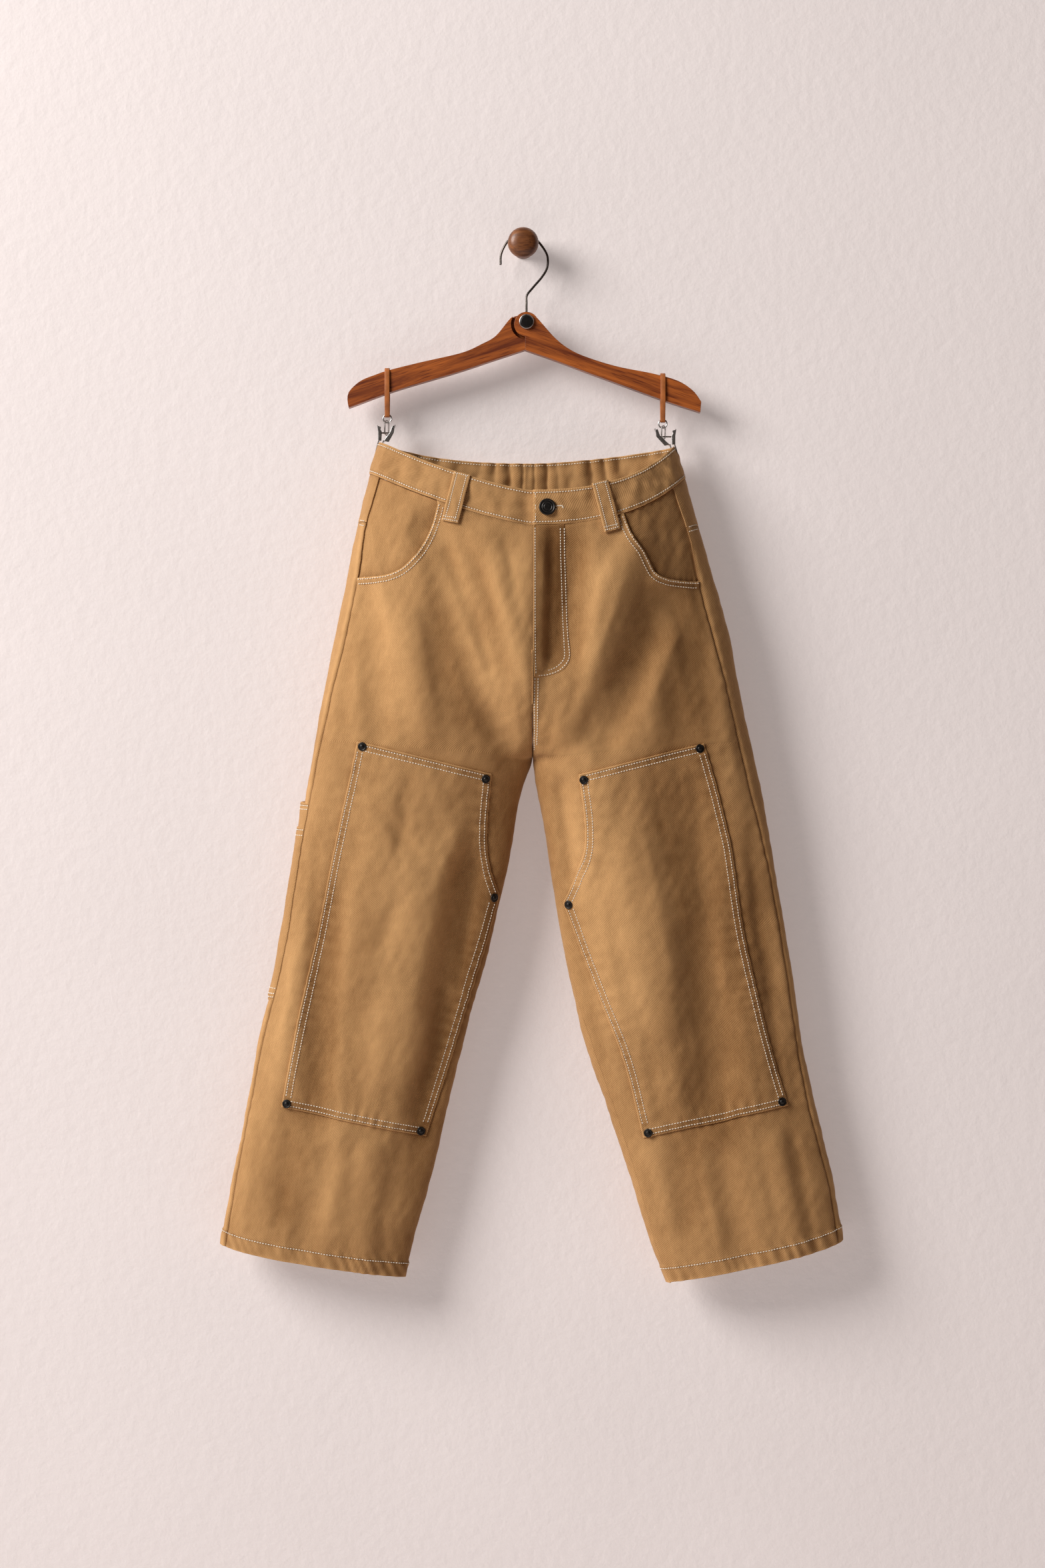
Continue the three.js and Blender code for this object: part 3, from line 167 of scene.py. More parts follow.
SMALL_FRONT = table(CREASE, (
    (-66, -306, -30, -400, 9, -1.6), (-30, -330, -8, -440, 10, 1.4), (-96, -318, -52, -430, 10, 1.5),
    (-78, -330, -34, -452, 8, -1.5), (-150, -300, -142, -346, 9, -1.3), (-120, -288, -126, -335, 10, 1.2),
    (-150, -372, -128, -440, 10, 1.3), (-176, -400, -188, -500, 9, -1.6), (-60, -440, -30, -520, 12, -1.6),
    (-8, -420, 2, -520, 7, -1.4), (-100, -560, -66, -640, 12, 1.3), (-120, -572, -130, -640, 10, -1.5),
    (-150, -600, -110, -650, 9, -1.6), (-172, -640, -196, -700, 10, -1.5), (-60, -600, -84, -660, 12, 1.2),
    (-112, -700, -70, -650, 12, 1.3), (-50, -660, -66, -780, 9, -2.1), (-130, -690, -150, -740, 10, -1.4),
    (-84, -790, -104, -880, 10, -1.6), (-190, -800, -208, -890, 12, -1.3), (-150, -850, -160, -925, 12, 1.2),
    (-216, -640, -222, -740, 7, -1.6), (-240, -760, -252, -860, 7, 1.2), (-128, -950, -140, -1010, 10, -1.4),
    (-180, -950, -192, -1030, 12, -1.5), (-232, -930, -246, -1010, 11, 1.2),
    (-250, -1000, -262, -1056, 9, -1.3),
    (-284, -930, -296, -1040, 8, 1.1), (-150, -1020, -148, -1080, 9, -1.1),
    (30, -312, 26, -440, 6, -1.8), (22, -330, 20, -450, 5, 1.3), (60, -330, 52, -440, 10, -1.4),
    (92, -336, 60, -460, 9, 1.6), (128, -370, 92, -470, 10, -2.0), (160, -300, 156, -350, 9, -1.5),
    (132, -300, 136, -338, 8, 1.2), (150, -400, 176, -500, 12, 1.6), (190, -430, 200, -520, 10, -1.8),
    (212, -460, 222, -560, 8, 1.3), (40, -470, 24, -530, 8, -1.7), (96, -480, 70, -545, 12, 1.4),
    (110, -560, 96, -640, 12, -1.4), (150, -556, 160, -640, 12, 1.3), (180, -570, 188, -660, 10, -1.3),
    (84, -660, 74, -720, 10, -1.3), (92, -700, 112, -800, 10, -1.5), (140, -690, 160, -760, 14, 1.2),
    (206, -680, 214, -780, 10, 1.3), (160, -800, 172, -900, 12, -1.7), (226, -800, 240, -900, 10, 1.2),
    (130, -840, 142, -920, 9, -1.4), (238, -620, 250, -740, 7, -1.3), (276, -800, 290, -900, 7, -1.4),
    (60, -760, 84, -860, 7, -1.5), (160, -955, 170, -1040, 12, -1.5), (190, -960, 206, -1050, 9, 1.3),
    (240, -940, 252, -1020, 12, 1.2), (282, -940, 300, -1040, 9, -1.5), (130, -980, 150, -1070, 8, -1.2),
))
SMALL_BACK = table(CREASE, (
    (-20, -500, -96, -400, 12, -1.8), (-16, -540, -120, -470, 14, 1.7), (40, -505, 118, -410, 12, -1.8),
    (44, -545, 140, -480, 14, 1.7), (-60, -360, -66, -430, 12, -1.3), (-130, -350, -140, -440, 13, 1.3),
    (80, -360, 86, -440, 12, -1.3), (150, -356, 160, -450, 13, 1.3), (-20, -570, -110, -600, 12, -2.0),
    (30, -575, 130, -610, 12, -2.0), (-60, -620, -170, -640, 13, 1.6), (70, -640, 190, -650, 13, 1.6),
    (-50, -690, -150, -700, 12, -1.6), (80, -700, 180, -690, 12, -1.6), (-120, -770, -150, -880, 14, 1.5),
    (130, -770, 160, -890, 14, 1.5), (-100, -800, -130, -900, 10, -1.5), (110, -810, 150, -920, 10, -1.5),
    (-150, -900, -170, -1040, 12, 1.4), (170, -900, 190, -1050, 12, 1.4), (-240, -820, -262, -960, 10, -1.4),
    (262, -820, 280, -960, 10, -1.4), (-250, -980, -268, -1050, 12, 1.2), (250, -960, 262, -1050, 12, -1.2),
))

PATCH = "outer_x outer_z inner_x inner_z"
RIGHT_PATCH = table(PATCH, (
    (-173, -528, -33, -562), (-182, -570, -37, -608), (-190, -606, -37, -640), (-196, -634, -33, -664),
    (-201, -657, -25.5, -690), (-211, -704, -39.5, -742), (-222, -756, -55, -793),
    (-237.5, -830, -78, -869), (-253, -911, -101, -943.5),
))
LEFT_PATCH = table(PATCH, (
    (190, -530, 58.5, -562), (204, -576, 65, -606), (213, -611, 65.5, -639), (219, -638, 58.5, -663),
    (222.5, -662, 42.5, -697), (229, -706, 62, -750), (239, -757, 82, -800), (258, -836, 105.5, -862),
    (279, -910, 126.5, -943.5),
))
PATCHES = {"right": RIGHT_PATCH, "left": LEFT_PATCH}
PATCH_KINK = 4
RIVETS = {
    "right": ((-167.5, -533.5), (-39.5, -567), (-31, -692), (-247.5, -907.5), (-106.5, -938)),
    "left": ((185.5, -535.5), (64, -567.5), (48.5, -699), (272, -906), (131.5, -938)),
}
RIGHT_MOUTH = (
    (-84, -262), (-89, -283), (-95, -304), (-102, -319), (-112, -334), (-124.5, -346.5), (-137, -353),
    (-153, -356), (-200, -358),
)
LEFT_MOUTH = (
    (96, -270), (105, -294), (114, -314), (125, -329), (132, -343), (139, -353), (150, -358),
    (165, -360), (212, -360),
)
FACINGS = {
    "right": table("z x", ((-262, -74), (-300, -83), (-330, -96), (-350, -114), (-370, -138))),
    "left": table("z x", ((-262, 86), (-300, 96), (-330, 112), (-350, 124), (-372, 142))),
}
FLY_WIDTH = table("z width", ((-300, 33), (-400, 36), (-436, 38), (-449, 35), (-456, 28), (-461, 13)))
FLY_BOTTOM = -461.0
FRONT_LOOPS = (
    ("belt_loop_front_right", "right", -63, -249.5, -75.5, -300),
    ("belt_loop_front_left", "left", 79.5, -258, 92.5, -309.5),
)
BACK_LOOPS = (
    ("belt_loop_back_right", "right", -92),
    ("belt_loop_back_centre", "left", CENTRE_X + LOOP_WIDTH / 2 + 0.6),
    ("belt_loop_back_left", "left", 112),
)
TOOL_POCKETS = (
    ("tool_pocket_large", -592, -572, -800, 122, 0.3, 4.2),
    ("tool_pocket_small", -618, -618, -796, 62, 2.1, 2.2),
)


class Leg:
    """Sizes of one leg, as in the solids but for the two powers of its front section."""

    def __init__(self, name, sign, outline, inseam, **sizes):
        self.name = name
        self.sign = sign
        self.outline = outline
        self.inseam = inseam
        self.__dict__.update(sizes)


LEGS = {
    "right": Leg(
        "right", -1, RIGHT_OUTLINE, None, top=-212, front_drop=54.5, front_power=1.35, back_drop=19.3,
        back_power=2.4, yoke_side=-296, yoke_centre=-335, hem=-1056.5, hem_drop=36,
        outer_power=2.6, inner_power=1.95,
    ),
    "left": Leg(
        "left", 1, LEFT_OUTLINE, LEFT_INSEAM, top=-216, front_drop=50.5, front_power=2.4, back_drop=15.3,
        back_power=1.5, yoke_side=-300, yoke_centre=-335, hem=-1053.5, hem_drop=44,
        outer_power=2.05, inner_power=2.6,
    ),
}


# Form of the hanging cloth

def column(rows, name, z):
    """Smooth value of a table's column at the heights z."""
    levels, values = rows["z"], rows[name]
    last = len(levels) - 1
    z = np.clip(z, levels[-1], levels[0])
    i = np.clip(np.searchsorted(-levels, -z, side="right") - 1, 0, last - 1)
    before, after = np.maximum(i - 1, 0), np.minimum(i + 2, last)
    span = levels[i + 1] - levels[i]
    slope_a = (values[i + 1] - values[before]) / (levels[i + 1] - levels[before]) * span
    slope_b = (values[after] - values[i]) / (levels[after] - levels[i]) * span
    u = (z - levels[i]) / span
    return (
        values[i] * (2 * u**3 - 3 * u**2 + 1) + slope_a * (u**3 - 2 * u**2 + u)
        + values[i + 1] * (3 * u**2 - 2 * u**3) + slope_b * (u**3 - u**2)
    )


def mix(a, b, u):
    return a + (b - a) * u


def ease(u):
    v = np.clip(u, 0, 1)
    return v * v * (3 - 2 * v)


def bell(off, width):
    return np.exp(-((off / width) ** 2))


def fading(off, width):
    return np.exp(-off / width)


def openness(z):
    """How open the body is at the centre seam: 0 at the crotch, 1 a hand's width above it."""
    u = np.clip((z - CROTCH_Z) / CROTCH_RISE, 0, 1)
    return np.where(z < CROTCH_Z, 0, np.clip(np.sqrt(1 - (1 - u) ** 2) + 0.004, 0, 1))


def inner_edge(leg, z):
    return np.where(z >= CROTCH_Z, CENTRE_X, column(leg.outline, "inner", z)) + leg.sign * SEAM


def outer_edge(leg, z):
    return column(leg.outline, "outer", z)


def crease_rise(creases, x, z, widen=1.0):
    rise = np.zeros(np.broadcast(x, z).shape)
    for x0, z0, x1, z1, half, height in zip(*(creases[name] for name in CREASE.split())):
        dx, dz = x1 - x0, z1 - z0
        along = np.clip(((x - x0) * dx + (z - z0) * dz) / (dx * dx + dz * dz), 0, 1)
        off = ((x - x0 - dx * along) ** 2 + (z - z0 - dz * along) ** 2) / (half * widen) ** 2
        rise += height * np.where(off < 1, (1 - off) ** 2, 0)
    return rise


def long_folds(folds, x, z):
    rise = np.zeros(np.broadcast(x, z).shape)
    for half, height, line, length in folds:
        off, run = off_line(x, z, line)
        share = run / length
        taper = ease(share * 3.4) * ease((1 - share) * 3.4)
        over = np.where((share <= 0) | (share >= 1), 0, (off / half) ** 2)
        rise += height * taper * np.where(over < 1, (1 - over) ** 2, 0)
    return rise


def turn_of(s, z):
    return np.clip(np.where(z < CROTCH_Z, s - np.floor(s), s), 0, 1)


def width_share(s, z):
    """Share q of the width from the inner edge, and whether s lies on the back."""
    turn = turn_of(s, z)
    back = turn > 0.5
    t = np.where(back, 2 * (1 - turn), 2 * turn)
    return (1 - np.cos(np.pi * t)) / 2, back


def round_point(leg, s, z):
    """Point of the outer surface by s, which runs round a leg from its inner edge and back to it."""
    s, z = np.broadcast_arrays(np.asarray(s, float), np.asarray(z, float))
    q, back = width_share(s, z)
    opened = openness(z)
    inner, outer = inner_edge(leg, z), outer_edge(leg, z)
    x = inner + (outer - inner) * q
    outer_power = np.where(back, SECTION_POWER, leg.outer_power)
    inner_power = np.where(back, SECTION_POWER, leg.inner_power)
    outer_round = np.maximum(1 - q**outer_power, 0) ** (1 / outer_power)
    inner_round = np.maximum(1 - (1 - q) ** inner_power, 0) ** (1 / inner_power)
    fade = ease((1 - q) / 0.14) * mix(ease(q / 0.14), 1, ease((z - CROTCH_Z) / CROTCH_RISE))
    filled = mix(opened, ease((z - CROTCH_Z + 60) / 170), ease(q / 0.2))
    roundness = outer_round * mix(inner_round, 1, filled)
    middle = column(DEPTHS, "middle", z)
    front = middle - column(DEPTHS, "front", z) * roundness - crease_rise(FRONT_CREASES, x, z) * fade
    rear = middle + column(DEPTHS, "back", z) * roundness + crease_rise(BACK_CREASES, x, z) * fade
    return np.stack([x, np.where(back, rear, front), z], axis=-1)


def unit(vectors):
    return vectors / np.maximum(np.linalg.norm(vectors, axis=-1, keepdims=True), 1e-9)


def round_normal(leg, s, z):
    s, z = np.broadcast_arrays(np.asarray(s, float), np.asarray(z, float))
    along_z = round_point(leg, s, z + 2) - round_point(leg, s, z - 2)
    along_s = round_point(leg, s + 0.006, z) - round_point(leg, s - 0.006, z)
    normal = np.cross(along_s, along_z) * leg.sign
    up = round_point(leg, s, z + 2) - round_point(leg, s, z)
    zero = np.zeros_like(up[..., 0])
    side = np.where(s <= 0, 1, -1)
    seam_normal = np.stack([zero, -up[..., 2] * side, up[..., 1] * side], axis=-1)
    at_seam = (z >= CROTCH_Z) & ((s <= 0) | (s >= 1))
    return unit(np.where(at_seam[..., None], seam_normal, normal))


def round_of(q, back):
    s = np.arccos(1 - 2 * np.clip(q, 0, 1)) / (2 * np.pi)
    return np.where(back, 1 - s, s)


def round_at_x(leg, x, z, back=False):
    inner = inner_edge(leg, z)
    return round_of((x - inner) / (outer_edge(leg, z) - inner), back)


def seam_at(leg, z):
    return round_at_x(leg, column(leg.outline, "seam", z), z)


def inseam_at(leg, z):
    if leg.inseam is None:
        return np.zeros_like(z)
    roll = np.where(z > leg.inseam["z"][0], 0, column(leg.inseam, "roll", z))
    return round_of(roll / np.abs(outer_edge(leg, z) - inner_edge(leg, z)), False)


def step_for(leg, s, z, distance):
    """Step in s that moves a point by the given distance round the leg."""
    probe = 0.004
    run = np.linalg.norm(round_point(leg, s + probe, z) - round_point(leg, s, z), axis=-1)
    return distance * probe / np.maximum(run, 1e-6)


def side_share(s):
    return (1 + np.cos(2 * np.pi * s)) / 2


def band_top(leg, s):
    q = np.clip(1 - side_share(s), 0, 1)
    front = leg.front_drop * (1 - q**leg.front_power)
    rear = leg.back_drop * (1 - q**leg.back_power)
    return leg.top - np.where(s > 0.5, rear, front)


def band_bottom(leg, s):
    centre = np.where(s > 0.5, BAND_BACK_HEIGHT, BAND_CENTRE_HEIGHT)
    return band_top(leg, s) - mix(BAND_SIDE_HEIGHT, centre, side_share(s))


def yoke_line(leg, s):
    return mix(leg.yoke_side, leg.yoke_centre, side_share(s))


def hem_line(leg, s):
    return leg.hem - leg.hem_drop * np.maximum(side_share(s), 0) ** 0.75


def slanted(leg, back, s, nominal, top_nominal):
    """Height at s on the row of a given side height, which slants towards the centre."""
    share = side_share(s)
    crotch = (CROTCH_Z - CROTCH_SIDE_Z) * share
    low_down = (CROTCH_SIDE_Z - nominal) / (CROTCH_SIDE_Z - leg.hem)
    low = nominal + mix(crotch, hem_line(leg, s) - leg.hem, ease(low_down * 1.3))
    if back:
        top_slant = yoke_line(leg, s) - leg.yoke_side
    else:
        top_slant = band_bottom(leg, s) - band_bottom(leg, 0.5)
    high_down = (top_nominal - nominal) / (top_nominal - CROTCH_SIDE_Z)
    high = nominal + mix(top_slant, crotch, ease(high_down * 1.3))
    return np.where(nominal < CROTCH_SIDE_Z, low, high)


def gather_rise(leg, s, below):
    """Gathers of the elastic at the back, faded out at the side."""
    u = (s - 0.54) / 0.46
    uneven = u + 0.034 * np.sin(9 * u + leg.sign) + 0.015 * np.sin(23 * u + 2 * leg.sign) + 0.0006 * below
    fade = ease((s - 0.54) / 0.06) * ease((1 - s) / 0.03) * (1 - ease(below / GATHER_FADE))
    crest = np.sin(2 * np.pi * GATHERS * uneven) * (0.72 + 0.28 * np.sin(14 * u + 2 * leg.sign))
    return np.where(s > 0.54, GATHER_DEPTH * crest * fade, 0)


# Small unevenness of the cloth

def waves(points, length, seed, stretch=(1, 1, 1)):
    """Smooth random field between about -1 and 1 with features of the given length."""
    draw = np.random.RandomState(seed)
    total = 0
    for _ in range(9):
        direction = unit(draw.normal(size=3)) * draw.uniform(0.7, 1.5) * np.array(stretch)
        total = total + np.sin(points @ direction * (2 * np.pi / length) + draw.uniform(0, 7))
    return total / 3.4


def ripple(along, pitch, seed):
    """Uneven row of small puckers."""
    phase = along / pitch + 0.34 * np.sin(along / (1.9 * pitch) + seed) + 0.2 * np.sin(along / (0.8 * pitch))
    return np.sin(2 * np.pi * phase) * (0.65 + 0.35 * np.sin(along / (2.7 * pitch) + 2 * seed))


def off_line(x, z, line):
    """Distance of the points to a line of (x, z) points, and the way along it."""
    best = np.full(np.shape(x), 1e9)
    along = np.zeros(np.shape(x))
    run = 0.0
    for (x0, z0), (x1, z1) in zip(line[:-1], line[1:]):
        dx, dz = x1 - x0, z1 - z0
        length = max(math.hypot(dx, dz), 1e-6)
        share = np.clip(((x - x0) * dx + (z - z0) * dz) / length**2, 0, 1)
        off = np.hypot(x - x0 - dx * share, z - z0 - dz * share)
        near = off < best
        best = np.where(near, off, best)
        along = np.where(near, run + share * length, along)
        run += length
    return best, along


def smooth_line(points, count):
    """Points of a smooth curve through a few points, at even spacing."""
    given = np.array(points, float)
    padded = np.vstack([2 * given[0] - given[1], given, 2 * given[-1] - given[-2]])
    fine = []
    for i in range(1, len(padded) - 2):
        p0, p1, p2, p3 = padded[i - 1 : i + 3]
        for u in np.linspace(0, 1, 24, endpoint=False):
            fine.append(0.5 * (
                2 * p1 + (p2 - p0) * u + (2 * p0 - 5 * p1 + 4 * p2 - p3) * u**2
                + (3 * p1 - p0 - 3 * p2 + p3) * u**3
            ))
    fine.append(given[-1])
    return resampled(np.array(fine), count)


def resampled(points, count):
    run = np.concatenate([[0], np.cumsum(np.linalg.norm(np.diff(points, axis=0), axis=1))])
    even = np.linspace(0, run[-1], count)
    return np.stack([np.interp(even, run, points[:, k]) for k in range(points.shape[1])], axis=1)


def laid_fold(half, height, points):
    line = smooth_line(points, 7)
    return half, height, line, np.linalg.norm(np.diff(line, axis=0), axis=1).sum()


FRONT_FOLDS = [laid_fold(*fold) for fold in LONG_FRONT]
MOUTHS = {"right": smooth_line(RIGHT_MOUTH, 90), "left": smooth_line(LEFT_MOUTH, 90)}


def patch_edge(rows, side, count=60):
    """Points (x, z) of a patch's outer or inner edge; the inner one turns at its rivet."""
    points = np.stack([rows[side + "_x"], rows[side + "_z"]], axis=1)
    if side == "outer":
        return smooth_line(points, 2 * count)
    upper = smooth_line(points[: PATCH_KINK + 1], count)
    return np.vstack([upper, smooth_line(points[PATCH_KINK:], count)[1:]])


def patch_outline(rows):
    outer, inner = patch_edge(rows, "outer"), patch_edge(rows, "inner")
    return np.vstack([outer, inner[::-1], outer[:1]])


PATCH_OUTLINES = {side: patch_outline(rows) for side, rows in PATCHES.items()}


def relief(leg, s, z, base):
    """Folds and puckers along the normal, the same for every layer of the cloth."""
    q, back = width_share(s, z)
    x = base[..., 0]
    fade = ease((1 - q) / 0.12) * mix(ease(q / 0.12), 1, ease((z - CROTCH_Z) / CROTCH_RISE))
    front = long_folds(FRONT_FOLDS, x, z) + 0.75 * crease_rise(SMALL_FRONT, x, z, 1.25)
    rise = np.where(back, crease_rise(SMALL_BACK, x, z, 1.3), front) * fade
    rise += 0.6 * waves(base, 90, 3, (1, 1, 0.5)) + 0.42 * waves(base, 34, 8, (1, 1, 0.6))
    rise += 0.2 * waves(base, 15, 21) + 0.07 * waves(base, 7, 27)
    above_hem = z - hem_line(leg, s)
    hem_share = 1 - ease((above_hem - 13) / 14)
    rise += 0.7 * ripple(x + 0.45 * above_hem, 11.5, 1.3 + leg.sign) * hem_share * (0.55 + 0.45 * fade)
    rise += 0.42 * ripple(x, 13, 2.1) * fading(np.abs(band_bottom(leg, s) - z), 8)
    rise += 0.32 * ripple(x, 12, 4.2) * fading(np.where(back, np.abs(yoke_line(leg, s) - z), 99), 7)
    past_seam = x - column(leg.outline, "seam", z)
    seam_off = np.where(back, 99, np.abs(past_seam))
    rise -= 0.75 * bell(seam_off, 1.2) * (z < -330)
    outside = np.where(back, 99, past_seam * leg.sign)
    rise += 0.55 * bell(outside - 3.2, 2.6) + 0.25 * ripple(z, 16, 5) * fading(seam_off, 6)
    mouth_off, mouth_run = off_line(x, z, MOUTHS[leg.name][::4])
    rise += np.where(back | (z > -255), 0, fading(mouth_off, 7)) * (0.25 * ripple(mouth_run, 7, 3.1))
    patch_off, patch_run = off_line(x, z, PATCH_OUTLINES[leg.name][::5])
    return rise + np.where(back, 0, fading(patch_off, 9)) * 0.6 * ripple(patch_run, 13.5, 0.7)


def ridge_fade_and_painted_shade(leg, s, z, base):
    """Colour from the folds: ridges lighter, partly faded wear and partly painted highlight; troughs darker
    with painted shade; painted shade along the inner legs, which on the left leg ends at the knee.
    """
    # Crests lighter (fade and painted highlight), hollows darker (painted shade)
    faded = np.clip(relief(leg, s, z, base) * 0.1, -0.5, 0.36)
    inside = np.abs(base[..., 0] - inner_edge(leg, z))
    # Painted shade along the inner edge, from just below the crotch
    low = ease((CROTCH_Z + 25 - z) / 60) * (1 - 0.8 * (leg.sign > 0) * ease((-650 - z) / 80))
    return faded - 0.5 * bell(inside, INNER_SHADE_REACH[leg.name]) * low


def lay(leg, s, z, lift):
    """Point at a lift above the cloth, with all its folds, and the normal there."""
    base = round_point(leg, s, z)
    normal = round_normal(leg, s, z)
    rise = relief(leg, np.asarray(s, float), np.asarray(z, float), base)
    return base + normal * (np.asarray(lift) + rise)[..., None], normal


# Meshes

def finish_piece(obj, nodes=()):
    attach(obj, "root")
    if nodes:
        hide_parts(*nodes)
    return obj


def new_object(name, mesh, material):
    obj = bpy.data.objects.new(name, mesh)
    bpy.context.scene.collection.objects.link(obj)
    mesh.materials.append(material)
    mesh.shade_smooth()
    return obj


def cloth_piece(name, points, outward, weave, wear_and_shade, material, thick, drop=None):
    """Sheet from a grid of points in mm, with its thickness behind it; drop marks points cut away."""
    rows, columns = points.shape[:2]
    bm = bmesh.new()
    bmesh.ops.create_grid(bm, x_segments=columns - 1, y_segments=rows - 1, size=1)
    bm.verts.ensure_lookup_table()
    place = np.array([v.co[:2] for v in bm.verts])
    i = np.rint((place[:, 0] + 1) / 2 * (columns - 1)).astype(int)
    j = np.rint((place[:, 1] + 1) / 2 * (rows - 1)).astype(int)
    mesh = bpy.data.meshes.new(name)
    order = j * columns + i
    if drop is not None:
        gone = drop.reshape(-1)[order]
        inside = [f for f in bm.faces if all(gone[v.index] for v in f.verts)]
        bmesh.ops.delete(bm, geom=inside, context="FACES_ONLY")
        loose = [v for v in bm.verts if not v.link_faces]
        keep = np.array([bool(v.link_faces) for v in bm.verts])
        bmesh.ops.delete(bm, geom=loose, context="VERTS")
        order = order[keep]
    bm.to_mesh(mesh)
    bm.free()
    placed = points.reshape(-1, 3)[order] * MM
    mesh.vertices.foreach_set("co", placed.reshape(-1))
    corner = np.empty(len(mesh.loops), dtype=np.int32)
    mesh.loops.foreach_get("vertex_index", corner)
    layer = mesh.uv_layers.new(name="weave")
    layer.data.foreach_set("uv", (weave.reshape(-1, 2)[order] * MM)[corner].reshape(-1))
    # Per-point colour shift read by the twill: worn edges, and painted shade and highlights that follow the
    # folds
    worn_and_shaded = mesh.attributes.new("wear_and_shade", "FLOAT", "POINT")
    worn_and_shaded.data.foreach_set("value", wear_and_shade.reshape(-1)[order].astype(np.float32))
    mesh.update()
    normals = np.empty(len(mesh.vertices) * 3, dtype=np.float32)
    mesh.vertices.foreach_get("normal", normals)
    if (normals.reshape(-1, 3) * outward.reshape(-1, 3)[order]).sum() < 0:
        mesh.flip_normals()
    obj = new_object(name, mesh, material)
    wall = obj.modifiers.new("thickness", "SOLIDIFY")
    wall.thickness = thick * MM
    wall.offset = -1
    return obj


def graded(width, step, fine=(0, 0.6, 1.3, 2.3, 3.6, 5.4, 7.6)):
    """Shares from 0 to 1 across a width, closer at both edges."""
    near = np.array(fine) / width
    count = max(int((width - 2 * fine[-1]) / step), 2)
    middle = np.linspace(near[-1], 1 - near[-1], count)
    return np.concatenate([near[:-1], middle, (1 - near[:-1])[::-1]])


def arc_shares(points):
    """Way along each row of a grid of points, in mm."""
    steps = np.linalg.norm(np.diff(points, axis=1), axis=2)
    return np.concatenate([np.zeros((len(points), 1)), np.cumsum(steps, axis=1)], axis=1)


def down_shares(points):
    steps = np.linalg.norm(np.diff(points, axis=0), axis=2)
    return np.concatenate([np.zeros((1, points.shape[1])), np.cumsum(steps, axis=0)], axis=0)


def weave_of(points, flip):
    across = arc_shares(points)
    across = (across - across[:, -1:] / 2) * flip
    return np.stack([across + 500, points[..., 2] + 1500], axis=2)


def panel_grid(leg, back):
    """Positions s and z of a front or back panel's points."""
    top_nominal = (leg.yoke_side if back else float(band_bottom(leg, 0.5))) - GAP
    high = CROTCH_SIDE_Z + (top_nominal - CROTCH_SIDE_Z) * np.linspace(1, 0, 105) ** 1.5
    low = np.linspace(CROTCH_SIDE_Z, leg.hem + 22, 178)[1:]
    hem = leg.hem + np.array([20, 18.4, 17.2, 16.2, 15, 13.6, 12, 10, 8, 6, 4, 2.4, 1.2, 0.5, 0])
    nominal = np.concatenate([high, low, hem])[:, None]
    end = 1.0 if back else 0.0
    end_z = slanted(leg, back, end, nominal, top_nominal)
    seam = np.full_like(nominal, 0.47)
    for _ in range(6):
        seam = seam_at(leg, slanted(leg, back, seam, nominal, top_nominal))
    seam_gap = step_for(leg, seam, end_z, SEAM)
    inseam = inseam_at(leg, end_z)
    leg_gap = np.where(end_z < CROTCH_Z, step_for(leg, 0.001, end_z, SEAM), 0)
    start = seam + seam_gap if back else inseam + leg_gap
    stop = 1 + inseam - leg_gap if back else seam - seam_gap
    u = graded(245, 2.9)[None, :]
    s = mix(start, stop, u)
    z = slanted(leg, back, np.clip(s, 0, 1), nominal, top_nominal)
    return s, z


def hem_lift(leg, s, z):
    return HEM_PROUD * (1 - ease((z - hem_line(leg, s) - HEM_HEIGHT + 0.6) / 1.6))


# Hem colour: a worn lower edge, painted shade along the top stitch row, and the roping's crests lighter and
# hollows darker, partly fade and partly painted light and shade
def hem_wear_and_shade(leg, s, z):
    above = z - hem_line(leg, s)
    edge = 0.5 * fading(above, 1.4)
    fold = -0.45 * bell(above - 14.6, 1.3)
    roping_fade_and_shade = 0.35 * ripple(round_point(leg, s, z)[..., 0] + 0.45 * above, 11.5, 1.3 + leg.sign)
    return edge + fold + roping_fade_and_shade * (1 - ease((above - 13) / 5))


# Seam colour: painted shade in the side seam's groove, the raised allowance beside it lighter, partly fade
# and partly painted highlight, and painted shade under the waistband's lower edge
def seam_wear_and_shade(leg, s, z, x, back):
    past_seam = x - column(leg.outline, "seam", z)
    off = np.where(back, 99, np.abs(past_seam))
    outside = np.where(back, 99, past_seam * leg.sign)
    edge = -0.6 * bell(off, 1.1) + 0.3 * bell(outside - 3.2, 1.8)
    return edge - 0.25 * fading(np.abs(band_bottom(leg, s) - z), 3)


def in_mouth(leg, x, z):
    """Whether the points lie inside the cut of the hip pocket."""
    mouth = MOUTHS[leg.name]
    order = np.argsort(-mouth[:, 1])
    edge = np.interp(-z, -mouth[order, 1], mouth[order, 0])
    return (z > mouth[:, 1].min()) & ((x - edge) * leg.sign > 0)


